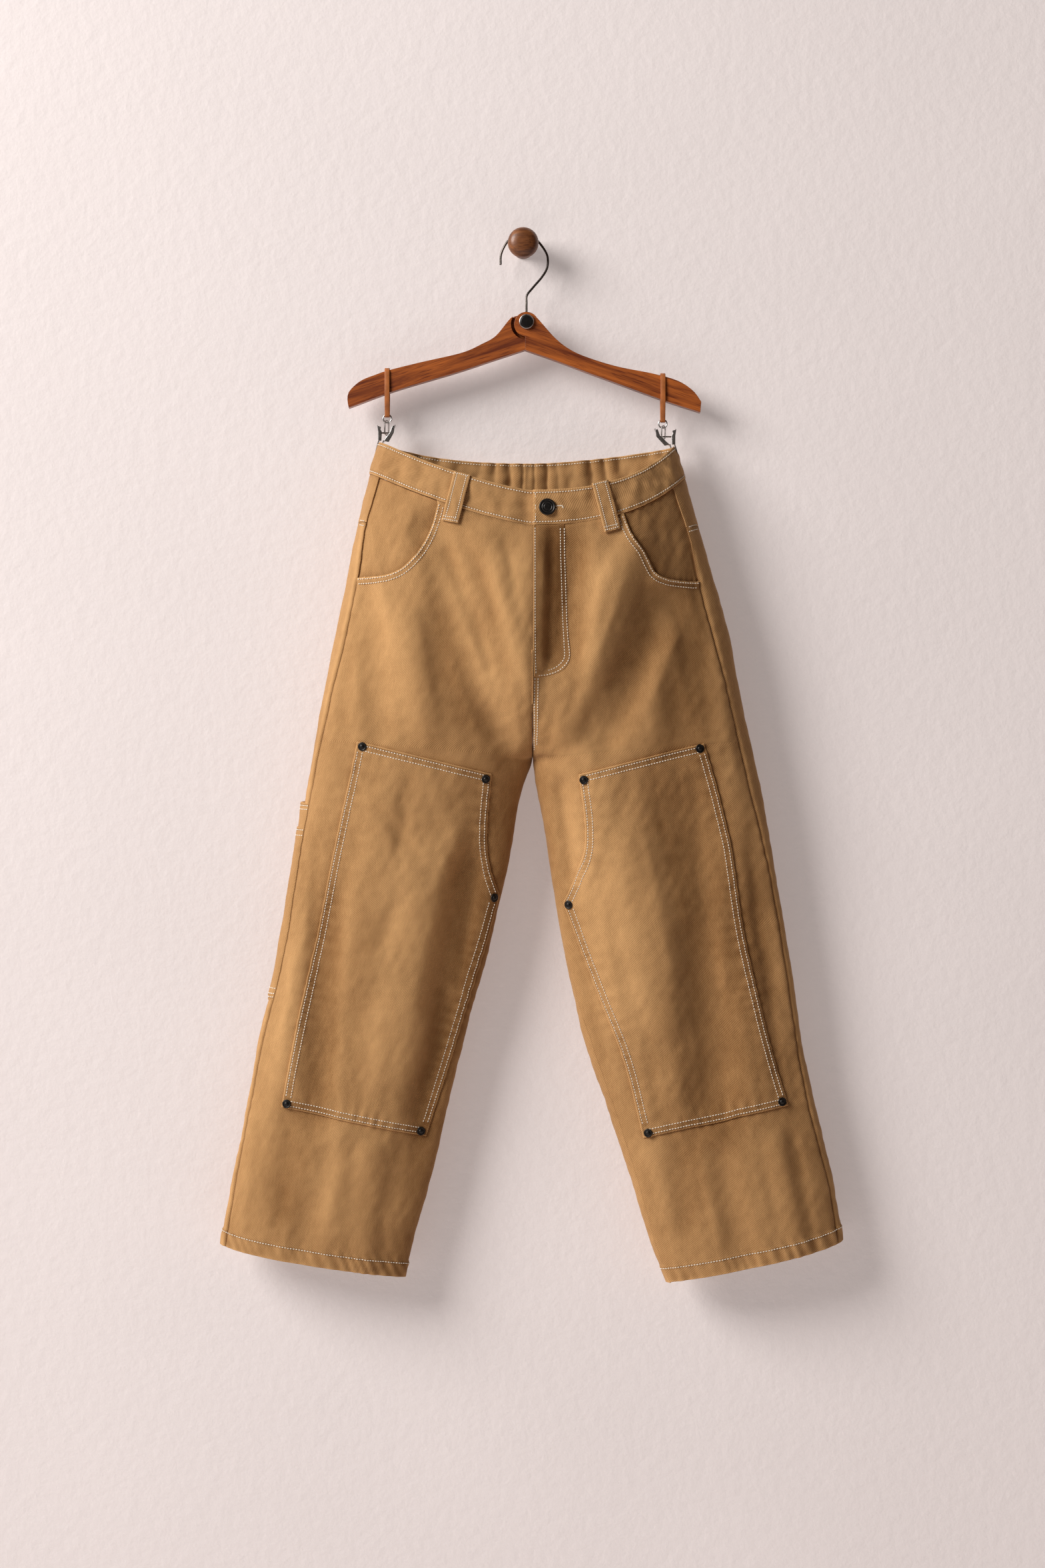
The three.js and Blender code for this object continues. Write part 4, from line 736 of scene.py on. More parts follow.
def front_panel(leg, material):
    s, z = panel_grid(leg, False)
    x = round_point(leg, s, z)[..., 0]
    drop = in_mouth(leg, x, z)
    around = np.pad(drop, 1, mode="edge")
    rows, columns = drop.shape
    rim = np.zeros_like(drop)
    for down in range(3):
        for along in range(3):
            rim |= drop & ~around[down : down + rows, along : along + columns]
    rim[0] = False
    mouth = resampled(MOUTHS[leg.name], 900)
    for j, i in zip(*np.nonzero(rim)):
        near = mouth[np.argmin((mouth[:, 0] - x[j, i]) ** 2 + (mouth[:, 1] - z[j, i]) ** 2)]
        s[j, i] = float(round_at_x(leg, near[0], near[1]))
        z[j, i] = near[1]
    base = round_point(leg, s, z)
    x = base[..., 0]
    mouth_off, mouth_run = off_line(x, z, MOUTHS[leg.name])
    gape = 1.1 * fading(mouth_off, 11) * (z > -372) * ease((-262 - z) / 30) * ease((z + 372) / 16)
    points, normal = lay(leg, s, z, hem_lift(leg, s, z) + gape)
    wear_and_shade = hem_wear_and_shade(leg, s, z) + seam_wear_and_shade(leg, s, z, x, False)
    at_mouth = z > -385
    # Worn mouth edge, and painted shade along the groove about 5 mm inside it
    wear_and_shade += np.where(at_mouth, 0.55 * fading(mouth_off, 1.1) - 0.35 * bell(mouth_off - 5, 2), 0)
    # Puckers of the mouth: crests lighter and hollows darker, partly fade and partly painted light and shade
    wear_and_shade += np.where(at_mouth, 0.3 * ripple(mouth_run, 7, 3.1) * fading(mouth_off, 5), 0)
    patch_off, _ = off_line(x, z, PATCH_OUTLINES[leg.name])
    # Painted shadow on the panel along the knee patch's edge
    wear_and_shade -= 0.35 * fading(patch_off, 2.2)
    # Lighter ridges, and painted shade in troughs and along the inner legs
    wear_and_shade += ridge_fade_and_painted_shade(leg, s, z, base)
    # Painted shade along the centre front above the crotch, beside the fly's edge
    wear_and_shade -= 0.3 * fading(np.abs(x - CENTRE_X), 2.5) * (z > CROTCH_Z)
    return cloth_piece(
        f"front_{leg.name}_cloth", points, normal, weave_of(points, leg.sign), wear_and_shade, material, CLOTH, drop
    )


def back_panel(leg, material):
    s, z = panel_grid(leg, True)
    x = round_point(leg, s, z)[..., 0]
    points, normal = lay(leg, s, z, hem_lift(leg, s, z))
    wear_and_shade = hem_wear_and_shade(leg, s, z) + seam_wear_and_shade(leg, s, z, x, s > 0.5)
    # Painted shade on the panel below the yoke's edge
    wear_and_shade -= 0.35 * fading(np.abs(yoke_line(leg, s) - z), 2.5)
    weave = weave_of(points, leg.sign)
    return cloth_piece(f"back_{leg.name}_cloth", points, normal, weave, wear_and_shade, material, CLOTH)


def yoke_piece(leg, material):
    level = graded(60, 2.4, (0, 0.6, 1.4, 2.6, 4.2))[:, None]
    u = np.linspace(0, 1, 130)[None, :]
    top_side = float(band_bottom(leg, 0.5001)) - GAP
    seam_z = mix(top_side, leg.yoke_side, level)
    seam = seam_at(leg, seam_z)
    start = seam + step_for(leg, seam, seam_z, SEAM)
    spread = round_of(np.sin(np.pi * (1 - mix(0.5, 1, u))), True)
    s = mix(start, spread, ease(u * 6))
    z = mix(band_bottom(leg, s) - GAP, yoke_line(leg, s) + SEAM, level)
    below = band_bottom(leg, s) - GAP - z
    gathers = gather_rise(leg, s, below)
    points, normal = lay(leg, s, z, gathers)
    # Painted shade under the waistband, and the gathers' crests lighter and hollows darker, partly fade and
    # partly painted light and shade
    wear_and_shade = -0.3 * fading(below, 3) + 0.35 * gathers / GATHER_DEPTH
    wear_and_shade += 0.4 * fading(np.abs(z - yoke_line(leg, s)), 1.2)
    weave = weave_of(points, leg.sign)
    return cloth_piece(f"yoke_{leg.name}_cloth", points, normal, weave, wear_and_shade, material, CLOTH)


def band_stations():
    """Legs, positions and sink of the waistband's columns, from the fly round the back to the underlap."""
    left, right = LEGS["left"], LEGS["right"]
    front = round_of(np.sin(np.pi * np.linspace(0, 0.5, 75)), False)
    back = round_of(np.sin(np.pi * (1 - np.linspace(0.5, 1, 130))), True)
    stations = [(left, s, 0.0) for s in front] + [(left, s, 0.0) for s in back[1:]]
    stations += [(right, s, 0.0) for s in back[-2:0:-1]]
    for s in front[::-1]:
        x = round_point(right, s, -280.0)[..., 0]
        stations.append((right, s, UNDERLAP_DEPTH * float(ease(1 - (CENTRE_X - 2 - x) / UNDERLAP_EASE))))
    for share in np.linspace(0, 1, 12)[1:]:
        stations.append((left, float(round_at_x(left, CENTRE_X + UNDERLAP * share, -280.0)), UNDERLAP_DEPTH))
    return stations


def band_points(stations, level, lift):
    """Points and normals of the waistband at the given levels from its top to its bottom edge."""
    level = np.asarray(level, float)[:, None]
    lift = np.broadcast_to(np.asarray(lift, float).reshape(-1, 1), level.shape)
    points = np.zeros((len(level), len(stations), 3))
    normals = np.zeros_like(points)
    for leg in LEGS.values():
        own = [k for k, station in enumerate(stations) if station[0] is leg]
        s = np.array([stations[k][1] for k in own])[None, :]
        sink = np.array([stations[k][2] for k in own])[None, :]
        z = mix(band_top(leg, s), band_bottom(leg, s), level)
        base = round_point(leg, s, z)
        crumple = 1.0 * waves(base, 26, 31, (1, 1, 0.7)) + 0.6 * waves(base, 12, 37, (1, 1, 0.8))
        rise = gather_rise(leg, s, 0.0) - sink + crumple * np.sin(np.pi * np.clip(level, 0.04, 0.96)) ** 0.5
        points[:, own], normals[:, own] = lay(leg, s + 0 * z, z, lift + rise)
    return points, normals


def waistband_piece(material):
    level = graded(BAND_BACK_HEIGHT, 2.0, (0, 0.5, 1.2, 2.2, 3.4))
    stations = band_stations()
    edge = np.minimum(level, 1 - level) * BAND_BACK_HEIGHT
    rolled = -0.5 * bell(edge, 0.9) - 0.25 * bell(edge - 2.8, 1.1)
    points, normal = band_points(stations, level, BAND_PROUD + rolled)
    # Worn edges, and painted shade in the groove about 3 mm inside them
    wear_and_shade = (0.55 * fading(edge, 0.9) - 0.3 * bell(edge - 3, 1.3))[:, None] + 0 * points[..., 0]
    # Gathers: crests lighter and hollows darker, partly fade and partly painted light and shade
    crests = np.array([float(gather_rise(leg, s, 0.0)) / GATHER_DEPTH for leg, s, _ in stations])
    wear_and_shade += 0.35 * crests[None, :]
    weave = weave_of(points, 1)
    weave[..., 1] = 1500 - down_shares(points)
    return cloth_piece("waistband_cloth", points, normal, weave, wear_and_shade, material, BAND_CLOTH)


def overlay(name, leg, x, z, lift, wear_and_shade, material, thick):
    """Sheet laid on the front by its points' places as seen from the front."""
    s = round_at_x(leg, x, z)
    points, normal = lay(leg, s, z, lift)
    weave = weave_of(points, np.sign(points[0, -1, 0] - points[0, 0, 0]))
    # Lighter ridges, and painted shade in troughs and along the inner legs
    wear_and_shade = wear_and_shade + ridge_fade_and_painted_shade(leg, s, z, round_point(leg, s, z))
    return cloth_piece(name, points, normal, weave, wear_and_shade, material, thick)


def knee_patch(leg, material):
    share = graded(405, 2.6)
    a = graded(150, 2.5)[None, :]
    edges = []
    for side in ("outer", "inner"):
        edge = patch_edge(PATCHES[leg.name], side)
        at = np.linspace(0, 1, len(edge))
        edges.append([np.interp(share, at, edge[:, k])[:, None] for k in (0, 1)])
    (outer_x, outer_z), (inner_x, inner_z) = edges
    x = mix(outer_x, inner_x, a)
    z = mix(outer_z, inner_z, a)
    off, run = off_line(x, z, PATCH_OUTLINES[leg.name])
    first, second = PATCH_ROWS
    puckers = ripple(run, 5.6, 1.0) * bell(off - 5.5, 2.2)
    lift = PATCH_LIFT + CLOTH - 0.45 * bell(off, 0.9)
    lift -= 0.3 * bell(off - first, 0.9) + 0.3 * bell(off - second, 0.9)
    lift += 0.3 * puckers
    # Worn edge, and painted shade in the groove beside it and between the stitch rows
    wear_and_shade = 0.7 * fading(off, 0.8) - 0.75 * bell(off - 1.9, 0.7) - 0.3 * bell(off - 5.5, 2)
    # Puckers and ripples: crests lighter and hollows darker, partly fade and partly painted light and shade
    wear_and_shade += 0.35 * puckers
    wear_and_shade += 0.22 * ripple(run, 13.5, 0.7) * fading(np.maximum(off - second, 0), 9) * (off > second)
    return overlay(f"knee_patch_{leg.name}_cloth", leg, x, z, lift, wear_and_shade, material, CLOTH)


def fly_overlay(material):
    leg = LEGS["left"]
    a = graded(36, 1.6, (0, 0.5, 1.1, 2, 3.2))[None, :]
    b = np.concatenate([np.linspace(0, 0.9, 70), np.linspace(0.9, 1, 26)[1:]])[:, None]
    z = mix(-303.0, FLY_BOTTOM + 0.2, b) + 0 * a
    x = CENTRE_X + 0.3 + column(FLY_WIDTH, "width", z) * a
    z = mix(band_bottom(leg, round_at_x(leg, x, z)) - GAP, FLY_BOTTOM, b)
    width = column(FLY_WIDTH, "width", z)
    off = np.minimum(width * (1 - a), z - FLY_BOTTOM)
    edge = width * a
    lift = mix(1.5, 0.5, ease(a * 1.1)) * (1 - fading(np.maximum(off, 0), 1.2)) + 0.12
    lift -= 0.35 * bell(edge, 0.8) + 0.2 * bell(edge - 2, 0.9)
    # Worn edge, painted shade in the groove beside it, and painted shade over the whole piece, deeper towards
    # its top
    wear_and_shade = 0.5 * fading(edge, 0.8) - 0.6 * bell(edge - 2.2, 0.9) - 0.12
    wear_and_shade = wear_and_shade - 0.3 * ease((z + 430) / 110)
    return overlay("fly_piece_cloth", leg, x, z, lift, wear_and_shade, material, 0.3)


def pocket_piece(leg, material):
    rows = FACINGS[leg.name]
    bottom = rows["z"][-1]
    b = np.linspace(0, 1, 60)[:, None]
    a = np.linspace(0, 1, 60)[None, :]
    side_z = mix(float(band_bottom(leg, 0.5)) - GAP, bottom, b)
    seam = seam_at(leg, side_z)
    seam = seam + step_for(leg, seam, side_z, 3.5)
    top_s = round_at_x(leg, rows["x"][0], rows["z"][0])
    inner_s = round_at_x(leg, column(rows, "x", side_z - 12), side_z - 12)
    s = mix(seam, np.minimum(inner_s, top_s + 0 * b), a)
    z = mix(band_bottom(leg, s) - GAP, bottom, b)
    points, normal = lay(leg, s, z, -CLOTH - 0.35 + 0 * s)
    mouth_off, _ = off_line(points[..., 0], z, MOUTHS[leg.name])
    # Painted shadow of the mouth's edge, and painted shade over the whole left piece
    wear_and_shade = -0.5 * fading(mouth_off, 6) - 0.22 * (leg.sign > 0)
    weave = weave_of(points, -leg.sign)
    return cloth_piece(f"pocket_piece_{leg.name}_cloth", points, normal, weave, wear_and_shade, material, LINING_CLOTH)


def loop_lift(b):
    return BAND_PROUD + GAP + LOOP_BOW * np.sin(np.pi * b) + LOOP_HEEL * b


def loop_grid(length):
    """Shares across and down a belt loop."""
    return graded(LOOP_WIDTH, 1.3, (0, 0.5, 1.1, 2))[None, :], graded(length, 1.8, (0, 0.6, 1.4))[:, None]


def loop_surface(a, b, lift):
    """Lift and colour of a belt loop, which is sunk along its edges and its rows: worn edges and ends, and
    painted shade in the sunk rows.
    """
    edge = np.minimum(a, 1 - a) * LOOP_WIDTH
    ends = np.minimum(b, 1 - b) * 50
    sunk = lift - 0.5 * bell(edge, 0.8) - 0.3 * bell(edge - 3.6, 0.9)
    return sunk, 0.6 * fading(edge, 0.8) - 0.45 * bell(edge - 3.6, 0.8) + 0.4 * fading(ends, 0.9)


def front_loop(name, side, top_x, top_z, low_x, low_z, material):
    length = math.hypot(low_x - top_x, low_z - top_z)
    a, b = loop_grid(52)
    x = mix(top_x, low_x, b) + (a - 0.5) * (-(low_z - top_z) / length * LOOP_WIDTH)
    z = mix(top_z, low_z, b) + (a - 0.5) * ((low_x - top_x) / length * LOOP_WIDTH)
    lift, wear_and_shade = loop_surface(a, b, loop_lift(b) + LOOP_CLOTH)
    return overlay(f"{name}_cloth", LEGS[side], x, z, lift, wear_and_shade, material, LOOP_CLOTH)


def back_loop(name, side, x, material):
    leg = LEGS[side]
    a, b = loop_grid(50)
    s = round_at_x(leg, x + (a - 0.5) * LOOP_WIDTH, -260.0, True)
    z = mix(band_top(leg, s) - 1, band_bottom(leg, s) - 13, b)
    lift, wear_and_shade = loop_surface(a, b, loop_lift(b) + GATHER_DEPTH + LOOP_CLOTH)
    points, normal = lay(leg, s + 0 * b, z, lift)
    return cloth_piece(f"{name}_cloth", points, normal, weave_of(points, 1), wear_and_shade, material, LOOP_CLOTH)


def walk_round(leg, start, z, distance):
    """Position reached after walking a distance round the leg."""
    steps = start + np.arange(0, 0.45, 0.002)
    points = round_point(leg, steps, np.full_like(steps, z))
    run = np.concatenate([[0], np.cumsum(np.linalg.norm(np.diff(points, axis=0), axis=1))])
    return float(np.interp(distance, run, steps))


def tool_pocket_grid(seam_top, back_top, bottom, width):
    """Positions of a tool pocket's points from the side seam round to the back."""
    leg = LEGS["right"]
    b = graded(220, 3.0)[:, None]
    a = graded(width, 2.6)[None, :]
    levels = np.linspace(back_top, bottom, 12)
    ends = np.array([walk_round(leg, float(seam_at(leg, z)), z, width) for z in levels])
    z = mix(seam_top, bottom, b) + 0 * a
    s = z * 0
    for _ in range(3):
        stop = np.interp(-z, -levels, ends)
        seam = seam_at(leg, z)
        s = mix(seam + 0.0015, stop, a)
        x = round_point(leg, s, z)[..., 0]
        edge_x = outer_edge(leg, seam_top)
        end_x = float(round_point(leg, ends[0], back_top)[..., 0])
        share = np.clip((x - edge_x) / (end_x - edge_x), 0, 1) * (s > 0.5)
        z = mix(mix(seam_top, back_top, share), bottom, b)
    return leg, s, z, a, b


def mouth_gape(a, down, width, lift, gape):
    """Lift of a tool pocket, which gapes at its mouth and lies flat at the side seam."""
    open_lift = lift + gape * fading(down, 22) * np.sin(np.pi * np.clip(0.12 + 0.8 * a, 0, 1))
    return 0.2 + (open_lift - 0.2) * ease(a * width / 26)


def tool_pocket(name, seam_top, back_top, bottom, width, lift_in, gape, material):
    leg, s, z, a, b = tool_pocket_grid(seam_top, back_top, bottom, width)
    down = b * (seam_top - bottom)
    off = np.minimum(np.minimum(down, (1 - b) * 220), np.minimum(a * width + 6, (1 - a) * width))
    lift = mouth_gape(a, down, width, lift_in + CLOTH, gape)
    lift = lift - 0.45 * bell(off, 0.9) - 0.25 * bell(off - 3, 1)
    puckers = ripple(a * width + down, 6.5, 2.0) * fading(off, 5)
    points, normal = lay(leg, s, z, lift + 0.3 * puckers)
    # Worn edges, painted shade in the groove beside them, and the puckers' crests lighter and hollows darker,
    # partly fade and partly painted light and shade
    wear_and_shade = 0.6 * fading(off, 0.9) - 0.5 * bell(off - 2.2, 0.9) + 0.25 * puckers
    return cloth_piece(f"{name}_cloth", points, normal, weave_of(points, -1), wear_and_shade, material, CLOTH)


# Stitches

def stitch_seed():
    """One stitch: a small rounded body along x, with two dozen faces."""
    bm = bmesh.new()
    lying = Matrix.Rotation(math.pi / 2, 4, "Y")
    bmesh.ops.create_uvsphere(bm, u_segments=6, v_segments=4, radius=1, matrix=lying)
    for v in bm.verts:
        v.co.x *= 1 + 0.25 * (1 - abs(v.co.x))
    verts = np.array([v.co[:] for v in bm.verts])
    faces = [[v.index for v in f.verts] for f in bm.faces]
    bm.free()
    return verts, faces


def along_line(points, normals, pitch, lead=0.5):
    """Centres, directions and normals at an even pitch along a dense line of points."""
    run = np.concatenate([[0], np.cumsum(np.linalg.norm(np.diff(points, axis=0), axis=1))])
    if run[-1] < pitch:
        return np.empty((0, 3)), np.empty((0, 3)), np.empty((0, 3))
    at = np.arange(lead * pitch, run[-1] - 0.3 * pitch, pitch)
    pick = lambda values, where: np.stack([np.interp(where, run, values[:, k]) for k in range(3)], axis=1)
    centres = pick(points, at)
    direction = unit(pick(points, at + 0.4) - pick(points, at - 0.4))
    normal = unit(pick(normals, at))
    normal = unit(normal - direction * (normal * direction).sum(1, keepdims=True))
    return centres, direction, normal


def row_on(leg, line, lift):
    """Dense points and normals of a seam drawn by (x, z) points on the front."""
    line = np.array(line, float)
    length = np.linalg.norm(np.diff(line, axis=0), axis=1).sum()
    fine = resampled(line, max(int(length / 0.8), 3))
    return lay(leg, round_at_x(leg, fine[:, 0], fine[:, 1]), fine[:, 1], lift)


def inset_line(line, distance):
    """Line of (x, z) points moved sideways; positive is to the left of its way."""
    line = np.array(line, float)
    way = unit(np.gradient(line, axis=0))
    return line + np.stack([-way[:, 1], way[:, 0]], axis=1) * distance


def stitch_rows(name, rows, material, pitch=STITCH_PITCH, half_width=0.54, half_height=0.42):
    """All stitches of a group of rows as one mesh made from arrays."""
    seed_verts, seed_faces = stitch_seed()
    draw = np.random.RandomState(len(rows) + 11)
    verts, faces = [], []
    total = 0
    for points, normals in rows:
        centre, along, up = along_line(points, normals, pitch)
        count = len(centre)
        if not count:
            continue
        tilt = draw.normal(0, 0.07, count)[:, None]
        across = np.cross(up, along)
        along, across = along + across * tilt, across - along * tilt
        length = pitch * 0.36 * draw.uniform(0.93, 1.07, count)[:, None, None]
        wide = half_width * draw.uniform(0.92, 1.08, count)[:, None, None]
        body = (
            centre[:, None, :] + up[:, None, :] * 0.12
            + seed_verts[None, :, 0:1] * along[:, None, :] * length
            + seed_verts[None, :, 1:2] * across[:, None, :] * wide
            + seed_verts[None, :, 2:3] * up[:, None, :] * half_height
        )
        verts.append(body.reshape(-1, 3))
        for k in range(count):
            start = total + k * len(seed_verts)
            faces.extend([[start + i for i in face] for face in seed_faces])
        total += count * len(seed_verts)
    mesh = bpy.data.meshes.new(name)
    mesh.from_pydata(np.vstack(verts) * MM, [], faces)
    mesh.update()
    bm = bmesh.new()
    bm.from_mesh(mesh)
    bmesh.ops.recalc_face_normals(bm, faces=bm.faces)
    bm.to_mesh(mesh)
    bm.free()
    return new_object(name, mesh, material)


def hem_rows():
    rows = []
    for leg in LEGS.values():
        s = np.linspace(0, 1, 700)
        z = hem_line(leg, s) + HEM_HEIGHT - 1.6
        rows.append(lay(leg, s, z, HEM_PROUD + 0.05))
    return rows


def band_rows():
    """Rows along the waistband's edges outside, along its upper edge inside, and down its front end."""
    stations = band_stations()
    rows = []
    high = BAND_ROW / BAND_BACK_HEIGHT
    for level in (high, 1 - high):
        points, normals = band_points(stations, np.array([level]), BAND_PROUD + 0.05)
        rows.append((points[0], normals[0]))
    points, normals = band_points(stations, np.array([high]), BAND_PROUD - BAND_CLOTH - 0.05)
    rows.append((points[0], -normals[0]))
    leg = LEGS["left"]
    s = np.full(60, float(round_at_x(leg, CENTRE_X + 2.8, -285.0)))
    z = mix(band_top(leg, s), band_bottom(leg, s), np.linspace(0.09, 0.91, 60))
    rows.append(lay(leg, s, z, BAND_PROUD + 0.05))
    return rows


def patch_rows(leg):
    rows = []
    lift = PATCH_LIFT + CLOTH
    outer, inner = (patch_edge(PATCHES[leg.name], side) for side in ("outer", "inner"))
    top = np.array([outer[0], inner[0]])
    bottom = np.array([outer[-1], inner[-1]])
    for distance in PATCH_ROWS:
        inward = distance * leg.sign
        rows.append(row_on(leg, inset_line(outer, -inward)[3:-3], lift))
        rows.append(row_on(leg, inset_line(inner[:60], inward)[3:-1], lift))
        rows.append(row_on(leg, inset_line(inner[60:], inward)[1:-3], lift))
        for line, way in ((top, 1), (bottom, -1)):
            rows.append(row_on(leg, inset_line(resampled(line, 60), inward * way)[3:-3], lift))
    return rows


def mouth_rows(leg):
    line = MOUTHS[leg.name]
    seam_x = column(leg.outline, "seam", line[:, 1])
    keep = (line[:, 0] - seam_x) * leg.sign < 0
    rows = []
    for inset, lift in ((6.4, 0.9), (1.7, 1.25)):
        row = inset_line(line, -inset * leg.sign)[keep]
        row = row[row[:, 1] < band_bottom(leg, round_at_x(leg, row[:, 0], row[:, 1])) - 3]
        rows.append(row_on(leg, row, lift))
    return rows


def fly_rows():
    """Rows down the fly's edge and below it, and the two curved rows of the fly."""
    leg = LEGS["left"]
    straight = (
        (((2.4, -306), (2.4, -400), (2.8, -458)), 1.25),
        (((1.8, -462), (1.6, -500), (1.2, -538)), 0.1),
        (((5.4, -462), (5.0, -500), (4.0, -532)), 0.1),
    )
    rows = [row_on(leg, [(CENTRE_X + x, z) for x, z in line], lift) for line, lift in straight]
    curve = smooth_line((
        (43.0, -306), (44.2, -350), (45.8, -400), (47.2, -430), (46, -444), (38, -454), (26, -459),
        (13, -460),
    ), 120)
    for distance, lift in ((0.0, 0.45), (4.2, 0.6)):
        rows.append(row_on(leg, inset_line(curve, -distance), lift))
    return rows


def front_loop_rows():
    rows = []
    for _, side, top_x, top_z, low_x, low_z in FRONT_LOOPS:
        leg = LEGS[side]
        length = math.hypot(low_x - top_x, low_z - top_z)
        across = np.array([-(low_z - top_z), low_x - top_x]) / length
        b = np.linspace(0.03, 0.97, 70)
        middle = np.stack([mix(top_x, low_x, b), mix(top_z, low_z, b)], axis=1)
        for offset in (-5.0, 5.0):
            line = middle + across * offset
            s = round_at_x(leg, line[:, 0], line[:, 1])
            rows.append(lay(leg, s, line[:, 1], loop_lift(b) + LOOP_CLOTH - 0.2))
        for share in (0.03, 0.9, 0.96):
            centre = np.array([mix(top_x, low_x, share), mix(top_z, low_z, share)])
            line = centre + across * np.linspace(-LOOP_WIDTH / 2 + 0.8, LOOP_WIDTH / 2 - 0.8, 30)[:, None]
            s = round_at_x(leg, line[:, 0], line[:, 1])
            lift = loop_lift(np.full(30, share)) + LOOP_CLOTH
            rows.append(lay(leg, s, line[:, 1], lift))
    return rows


def back_rows():
    """Rows of the yoke, the centre back seam, the back loops and the tool pockets."""
    rows = []
    for leg in LEGS.values():
        s = np.linspace(0.505, 0.998, 260)
        for rise in (3.0, 8.5):
            z = yoke_line(leg, s) + rise
            rows.append(lay(leg, s, z, gather_rise(leg, s, band_bottom(leg, s) - z) + 0.05))
    right = LEGS["right"]
    for offset in (2.6, 8.0):
        z = np.linspace(-338, -525, 160)
        rows.append(lay(right, round_at_x(right, CENTRE_X - offset + 0 * z, z, True), z, 0.05))
    for _, side, x in BACK_LOOPS:
        leg = LEGS[side]
        b = np.linspace(0.03, 0.97, 70)
        for offset in (-5.0, 5.0):
            s = np.full(70, float(round_at_x(leg, x + offset, -260.0, True)))
            z = mix(band_top(leg, s) - 1, band_bottom(leg, s) - 13, b)
            rows.append(lay(leg, s, z, loop_lift(b) + GATHER_DEPTH + LOOP_CLOTH - 0.2))
        across = x + np.linspace(-LOOP_WIDTH / 2 + 0.8, LOOP_WIDTH / 2 - 0.8, 30)
        s = round_at_x(leg, across, -260.0, True)
        for share in (0.04, 0.9, 0.96):
            z = mix(band_top(leg, s) - 1, band_bottom(leg, s) - 13, share)
            rows.append(lay(leg, s, z, loop_lift(share) + GATHER_DEPTH + LOOP_CLOTH + 0 * s))
    for _, seam_top, back_top, bottom, width, lift_in, gape in TOOL_POCKETS:
        leg, s, z, a, b = tool_pocket_grid(seam_top, back_top, bottom, width)
        lift = lift_in + CLOTH + 0.02
        points, normals = lay(leg, s, z, mouth_gape(a, b * (seam_top - bottom), width, lift, gape))
        down, across = down_shares(points)[:, 0], arc_shares(points)[len(points) // 2]
        for distance in (3.0, 8.5):
            j = int(np.argmin(abs(down - distance)))
            k = int(np.argmin(abs(across - (across[-1] - distance))))
            m = int(np.argmin(abs(down - (down[-1] - distance))))
            rows.append((points[j, : k + 1], normals[j, : k + 1]))
            rows.append((points[j : m + 1, k], normals[j : m + 1, k]))
            rows.append((points[m, : k + 1], normals[m, : k + 1]))
    return rows


def side_tack_rows():
    """Short double rows where the yoke meets the side seam."""
    rows = []
    tacks = {"right": ((-172.3, -294.6), (-165.9, -297)), "left": ((173.6, -302.8), (184.3, -298.6))}
    for side, ends in tacks.items():
        for drop in (0, 5.2):
            rows.append(row_on(LEGS[side], [(x, z - drop) for x, z in ends], 0.35))
    return rows


def buttonhole_rows():
    """Close stitches round the end of the buttonhole beside the button."""
    leg = LEGS["left"]
    end_x, middle_z = 39.6, -285.3
    lines = []
    for angle in np.linspace(-1.9, 1.9, 13):
        way_x, way_z = math.cos(angle), math.sin(angle)
        lines.append([(end_x + r * way_x, middle_z + h * way_z) for r, h in ((0.9, 0.9), (2.9, 2.6))])
    for x in np.arange(31.0, end_x, 0.8):
        for side in (-1, 1):
            lines.append([(x, middle_z + side * off) for off in (0.7, 2.6)])
    return [row_on(leg, line, BAND_PROUD + 0.2) for line in lines]


# Turned, bent and cut pieces of metal, leather and wood

def built(name, bm, material):
    """Smooth object of a finished bmesh, with its normals outwards."""
    bmesh.ops.recalc_face_normals(bm, faces=bm.faces)
    mesh = bpy.data.meshes.new(name)
    bm.to_mesh(mesh)
    bm.free()
    return new_object(name, mesh, material)


def turned(name, profile, material, segments=48):
    """Piece turned about y from rows of radius and height in mm; its first and last rows lie on the axis."""
    bm = bmesh.new()
    verts = [bm.verts.new((radius * MM, height * MM, 0)) for radius, height in profile]
    edges = [bm.edges.new(pair) for pair in zip(verts[:-1], verts[1:])]
    bmesh.ops.spin(
        bm, geom=verts + edges, cent=(0, 0, 0), axis=(0, 1, 0), dvec=(0, 0, 0), angle=2 * math.pi,
        steps=segments, use_merge=True, use_duplicate=False,
    )
    bmesh.ops.remove_doubles(bm, verts=bm.verts, dist=1e-6)
    return built(name, bm, material)


def smooth_profile(profile, step=0.25):
    """The profile with its corners eased and more rows."""
    line = np.array(profile, float)
    dense = resampled(line, max(int(np.linalg.norm(np.diff(line, axis=0), axis=1).sum() / step), 8))
    eased = dense.copy()
    for _ in range(2):
        eased[1:-1] = (eased[:-2] + 2 * eased[1:-1] + eased[2:]) / 4
    eased[0, 0] = eased[-1, 0] = 0
    return [tuple(row) for row in eased]


def set_mesh(obj, matrix):
    obj.data.transform(matrix)
    obj.data.update()


def seat(obj, leg, x, z, lift):
    """Turns a piece from the y axis onto the cloth at a place of the front."""
    s = round_at_x(leg, np.array([x], float), np.array([z], float))
    point, normal = lay(leg, s, np.array([z], float), lift)
    turn = Vector((0, 1, 0)).rotation_difference(Vector(normal[0])).to_matrix().to_4x4()
    set_mesh(obj, Matrix.Translation(Vector(point[0]) * MM) @ turn)


